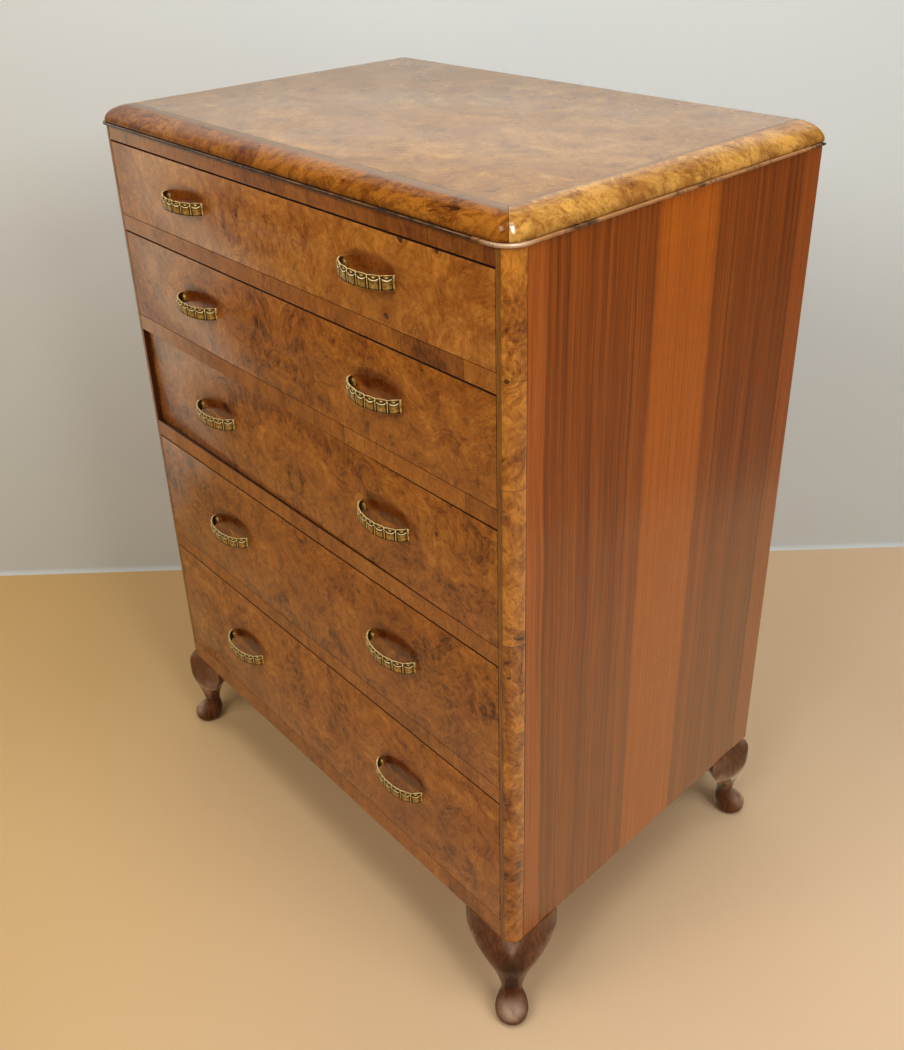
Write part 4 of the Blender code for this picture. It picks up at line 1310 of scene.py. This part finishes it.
keep("top_rail", RAILS[0])
for i in range(4):
    keep("divider_rail_%d" % (i + 1), RAILS[i + 1])
    keep("runner_frame_%d" % (i + 1), FRAME_Y, 0.0008)
keep("bottom_rail", RAILS[5])
keep("kicker_frame", FRAME_Y, 0.0008)
keep("bottom_board", STOCK_X, 0.0006)
keep("back_panel", BACK, 0.0004)
for side in ("left", "right"):
    keep("side_panel_" + side, SIDES, 0.0004)
for n in range(5):
    tag = "drawer_%d" % (n + 1)
    keep(tag + "_side_left", STOCK_Y, 0.0003)
    keep(tag + "_side_right", STOCK_Y, 0.0003)
    keep(tag + "_back", STOCK_X, 0.0006)
    keep(tag + "_bottom", PLY, 0.0003)


# ---------------------------------------------------------------- floor, backdrop, light and camera
def stage_material(name, low, high, start, end, rough, specular, see_through=False):
    """A plain surface whose colour goes softly from low to high, along the line from start to end."""
    f = Finish(name)
    cloud = f.noise(f.place, 1.3, 3.0, 0.5)
    start, end = Vector(start), Vector(end)
    run = (end - start) / (end - start).length_squared
    at = f.vector("DOT_PRODUCT", f.vector("SUBTRACT", f.place, tuple(start)), tuple(run))
    colour = f.mix(f.band(at, 0.0, 1.0), low, high)
    f.set(
        Base_Color=f.mix(f.band(cloud, 0.3, 0.7, 0.0, 0.02), colour, (1.0, 1.0, 1.0)),
        Roughness=rough,
        Specular_IOR_Level=specular,
    )
    if see_through:
        # seen from behind it isn't there, so that it never hides the back of the chest
        clear = f.add("ShaderNodeBsdfTransparent")
        either = f.add("ShaderNodeMixShader")
        f.tree.links.new(f.add("ShaderNodeNewGeometry").outputs["Backfacing"], either.inputs[0])
        f.tree.links.new(f.shader.outputs[0], either.inputs[1])
        f.tree.links.new(clear.outputs[0], either.inputs[2])
        out = next(n for n in f.tree.nodes if n.type == "OUTPUT_MATERIAL")
        f.tree.links.new(either.outputs[0], out.inputs[0])
    return f.mat


WALL_ALONG = Vector((0.663, 0.749, 0.0)).normalized()
WALL_OUT = Vector((WALL_ALONG.y, -WALL_ALONG.x, 0.0))      # towards the chest
WALL_AT = Vector((-0.989, -0.361, 0.0)) - WALL_OUT * 0.06


def sweep(name, profile, start, end, mat):
    """A strip along the wall's line over a profile of (distance out from the wall, height)."""
    verts, faces = [], []
    for along in (start, end):
        for out, z in profile:
            verts.append(tuple(WALL_AT + WALL_ALONG * along + WALL_OUT * out + Vector((0, 0, z))))
    count = len(profile)
    for i in range(count - 1):
        faces.append((i, i + 1, count + i + 1, count + i))
    mesh = bpy.data.meshes.new(name)
    mesh.from_pydata(verts, [], faces)
    mesh.shade_smooth()
    mesh.materials.append(mat)
    obj = bpy.data.objects.new(name, mesh)
    bpy.context.scene.collection.objects.link(obj)
    return obj


floor_profile = [(0.0, 0.0), (0.5, 0.0), (2.0, 0.0), (9.0, 0.0)]
floor = sweep("studio_floor", floor_profile, -7.0, 8.0, stage_material(
    "pale_floor", (0.66, 0.415, 0.165), (0.78, 0.580, 0.390), (-0.9, -0.9, 0.0), (1.5, 0.3, 0.0), 0.90, 0.10
))
wall_profile = [(0.0, 1.85), (0.0, 0.9), (0.0, 0.009)]
for i in range(1, 9):
    a = math.radians(90 * i / 8)
    wall_profile.append((0.008 * (1 - math.cos(a)), 0.009 - 0.0085 * math.sin(a)))
# painted shade: the backdrop is darker and warmer low on the left and lighter high up, for how the room's light falls
# on it
wall = sweep("studio_backdrop", wall_profile, -7.0, 2.1, stage_material(
    "pale_backdrop", (0.650, 0.665, 0.620), (0.700, 0.735, 0.725), (-0.8, -0.4, 0.10), (0.0, 0.3, 0.95), 0.9, 0.1, True
))


def lamp(name, at, to, size, power, colour=(1.0, 1.0, 1.0), spread=180.0, glossy=True, diffuse=True, turn=0.0):
    light = bpy.data.lights.new(name, "AREA")
    light.shape = "RECTANGLE"
    light.size, light.size_y = size
    light.energy = power
    light.color = colour
    light.spread = math.radians(spread)
    obj = bpy.data.objects.new(name, light)
    bpy.context.scene.collection.objects.link(obj)
    aim = (Vector(to) - Vector(at)).to_track_quat("-Z", "Y").to_matrix().to_4x4()
    obj.matrix_world = Matrix.Translation(at) @ aim @ Matrix.Rotation(math.radians(turn), 4, "Z")
    obj.visible_camera = False
    obj.visible_glossy = glossy
    obj.visible_diffuse = diffuse
    return obj


# two ceiling strips, which the corner of the top mirrors
for name, start, end, power in (
    ("ceiling_strip_1", (0.00, 0.26), (1.42, -0.60), 17.0),
    ("ceiling_strip_2", (-0.16, -0.30), (0.20, -0.75), 6.0),
):
    start, end = Vector((*start, 2.5)), Vector((*end, 2.5))
    strip = lamp(name, (start + end) / 2, (start + end) / 2 - Vector((0, 0, 1)), ((end - start).length, 0.28), power)
    run = (end - start).normalized()
    strip.matrix_world = Matrix.Translation((start + end) / 2) @ Matrix(
        (run, Vector((0, 0, 1)).cross(run), Vector((0, 0, 1)))
    ).transposed().to_4x4()
lamp(
    "ceiling_glint", (0.71, -0.17, 2.52), (0.71, -0.17, 1.0), (0.9, 0.20), 60.0, turn=-31.2, diffuse=False
)
# soft light from the room, kept out of the polish
lamp("soft_front", (0.2, -2.0, 2.3), (0.0, -0.2, 0.6), (1.6, 1.0), 31.0, (1.0, 0.97, 0.93), glossy=False)
lamp("soft_right", (2.3, 0.0, 2.2), (0.3, 0.0, 0.6), (1.6, 1.0), 31.0, (1.0, 0.98, 0.96), glossy=False)
# the pale panel that the left end of the front mirrors, and the pale wall that the top mirrors
for i, far in enumerate((-0.46, -0.60, -0.74, -0.88)):
    wide, high = -0.04 - far, 0.93 - 0.11 * i
    spot = WALL_AT + WALL_ALONG * (far + wide / 2) + WALL_OUT * (0.10 + 0.01 * i) + Vector((0, 0, 0.95 - high / 2))
    lamp(
        "sheen_left_%d" % i, spot, spot + WALL_OUT, (wide, high), math.pi * wide * high * 0.20, (1.0, 0.95, 0.67),
        diffuse=False,
    )
for i, (foot, glow) in enumerate(((1.02, 0.09), (1.15, 0.10), (1.24, 0.22), (1.31, 0.32))):
    high = 1.52 - foot
    spot = WALL_AT + WALL_ALONG * 1.05 + WALL_OUT * (0.04 + 0.01 * i) + Vector((0, 0, foot + high / 2))
    lamp(
        "sheen_top_%d" % i, spot, spot + WALL_OUT, (3.4, high), math.pi * 3.4 * high * glow, (1.0, 0.98, 0.94),
        diffuse=False,
    )

# the bright floor that the lower part of the right side mirrors, up to a slanting edge
away, near, edge, run = Vector((0.899, 0.437, 0.0)), 0.36, 1.25, 3.4
spot = away * (near + edge) / 2 + Vector((-0.437, 0.899, 0.0)) * 0.5 + Vector((0, 0, 0.012))
sheen = lamp(
    "sheen_side", spot, spot + Vector((0, 0, 1)), (edge - near, run), math.pi * (edge - near) * run * 0.42,
    (1.0, 0.84, 0.48), diffuse=False,
)
sheen.matrix_world = Matrix.Translation(spot) @ Matrix(
    (away, Vector((0, 0, -1)).cross(away), Vector((0, 0, -1)))
).transposed().to_4x4()

world = bpy.data.worlds.new("studio")
bpy.context.scene.world = world
world.use_nodes = True
world.node_tree.nodes["Background"].inputs["Color"].default_value = (0.80, 0.80, 0.78, 1.0)
world.node_tree.nodes["Background"].inputs["Strength"].default_value = 0.12

az, el, roll = math.radians(48.019), math.radians(26.401), math.radians(-1.579)
ahead = Vector((-math.sin(az) * math.cos(el), math.cos(az) * math.cos(el), -math.sin(el)))
right = Vector((math.cos(az), math.sin(az), 0.0))
up = right.cross(ahead)
right, up = right * math.cos(roll) + up * math.sin(roll), up * math.cos(roll) - right * math.sin(roll)
camera = bpy.data.cameras.new("camera")
camera.lens = 36.084
camera.sensor_width = 36.0
camera.shift_x = -0.00234
camera.shift_y = -0.12840
camera.clip_start, camera.clip_end = 0.05, 60.0
eye = bpy.data.objects.new("camera", camera)
bpy.context.scene.collection.objects.link(eye)
turn = Matrix((right, up, -ahead)).transposed().to_4x4()
eye.matrix_world = Matrix.Translation((0.97244, -0.84685, 1.32096)) @ turn
bpy.context.scene.camera = eye
bpy.context.scene.view_settings.view_transform = "Standard"
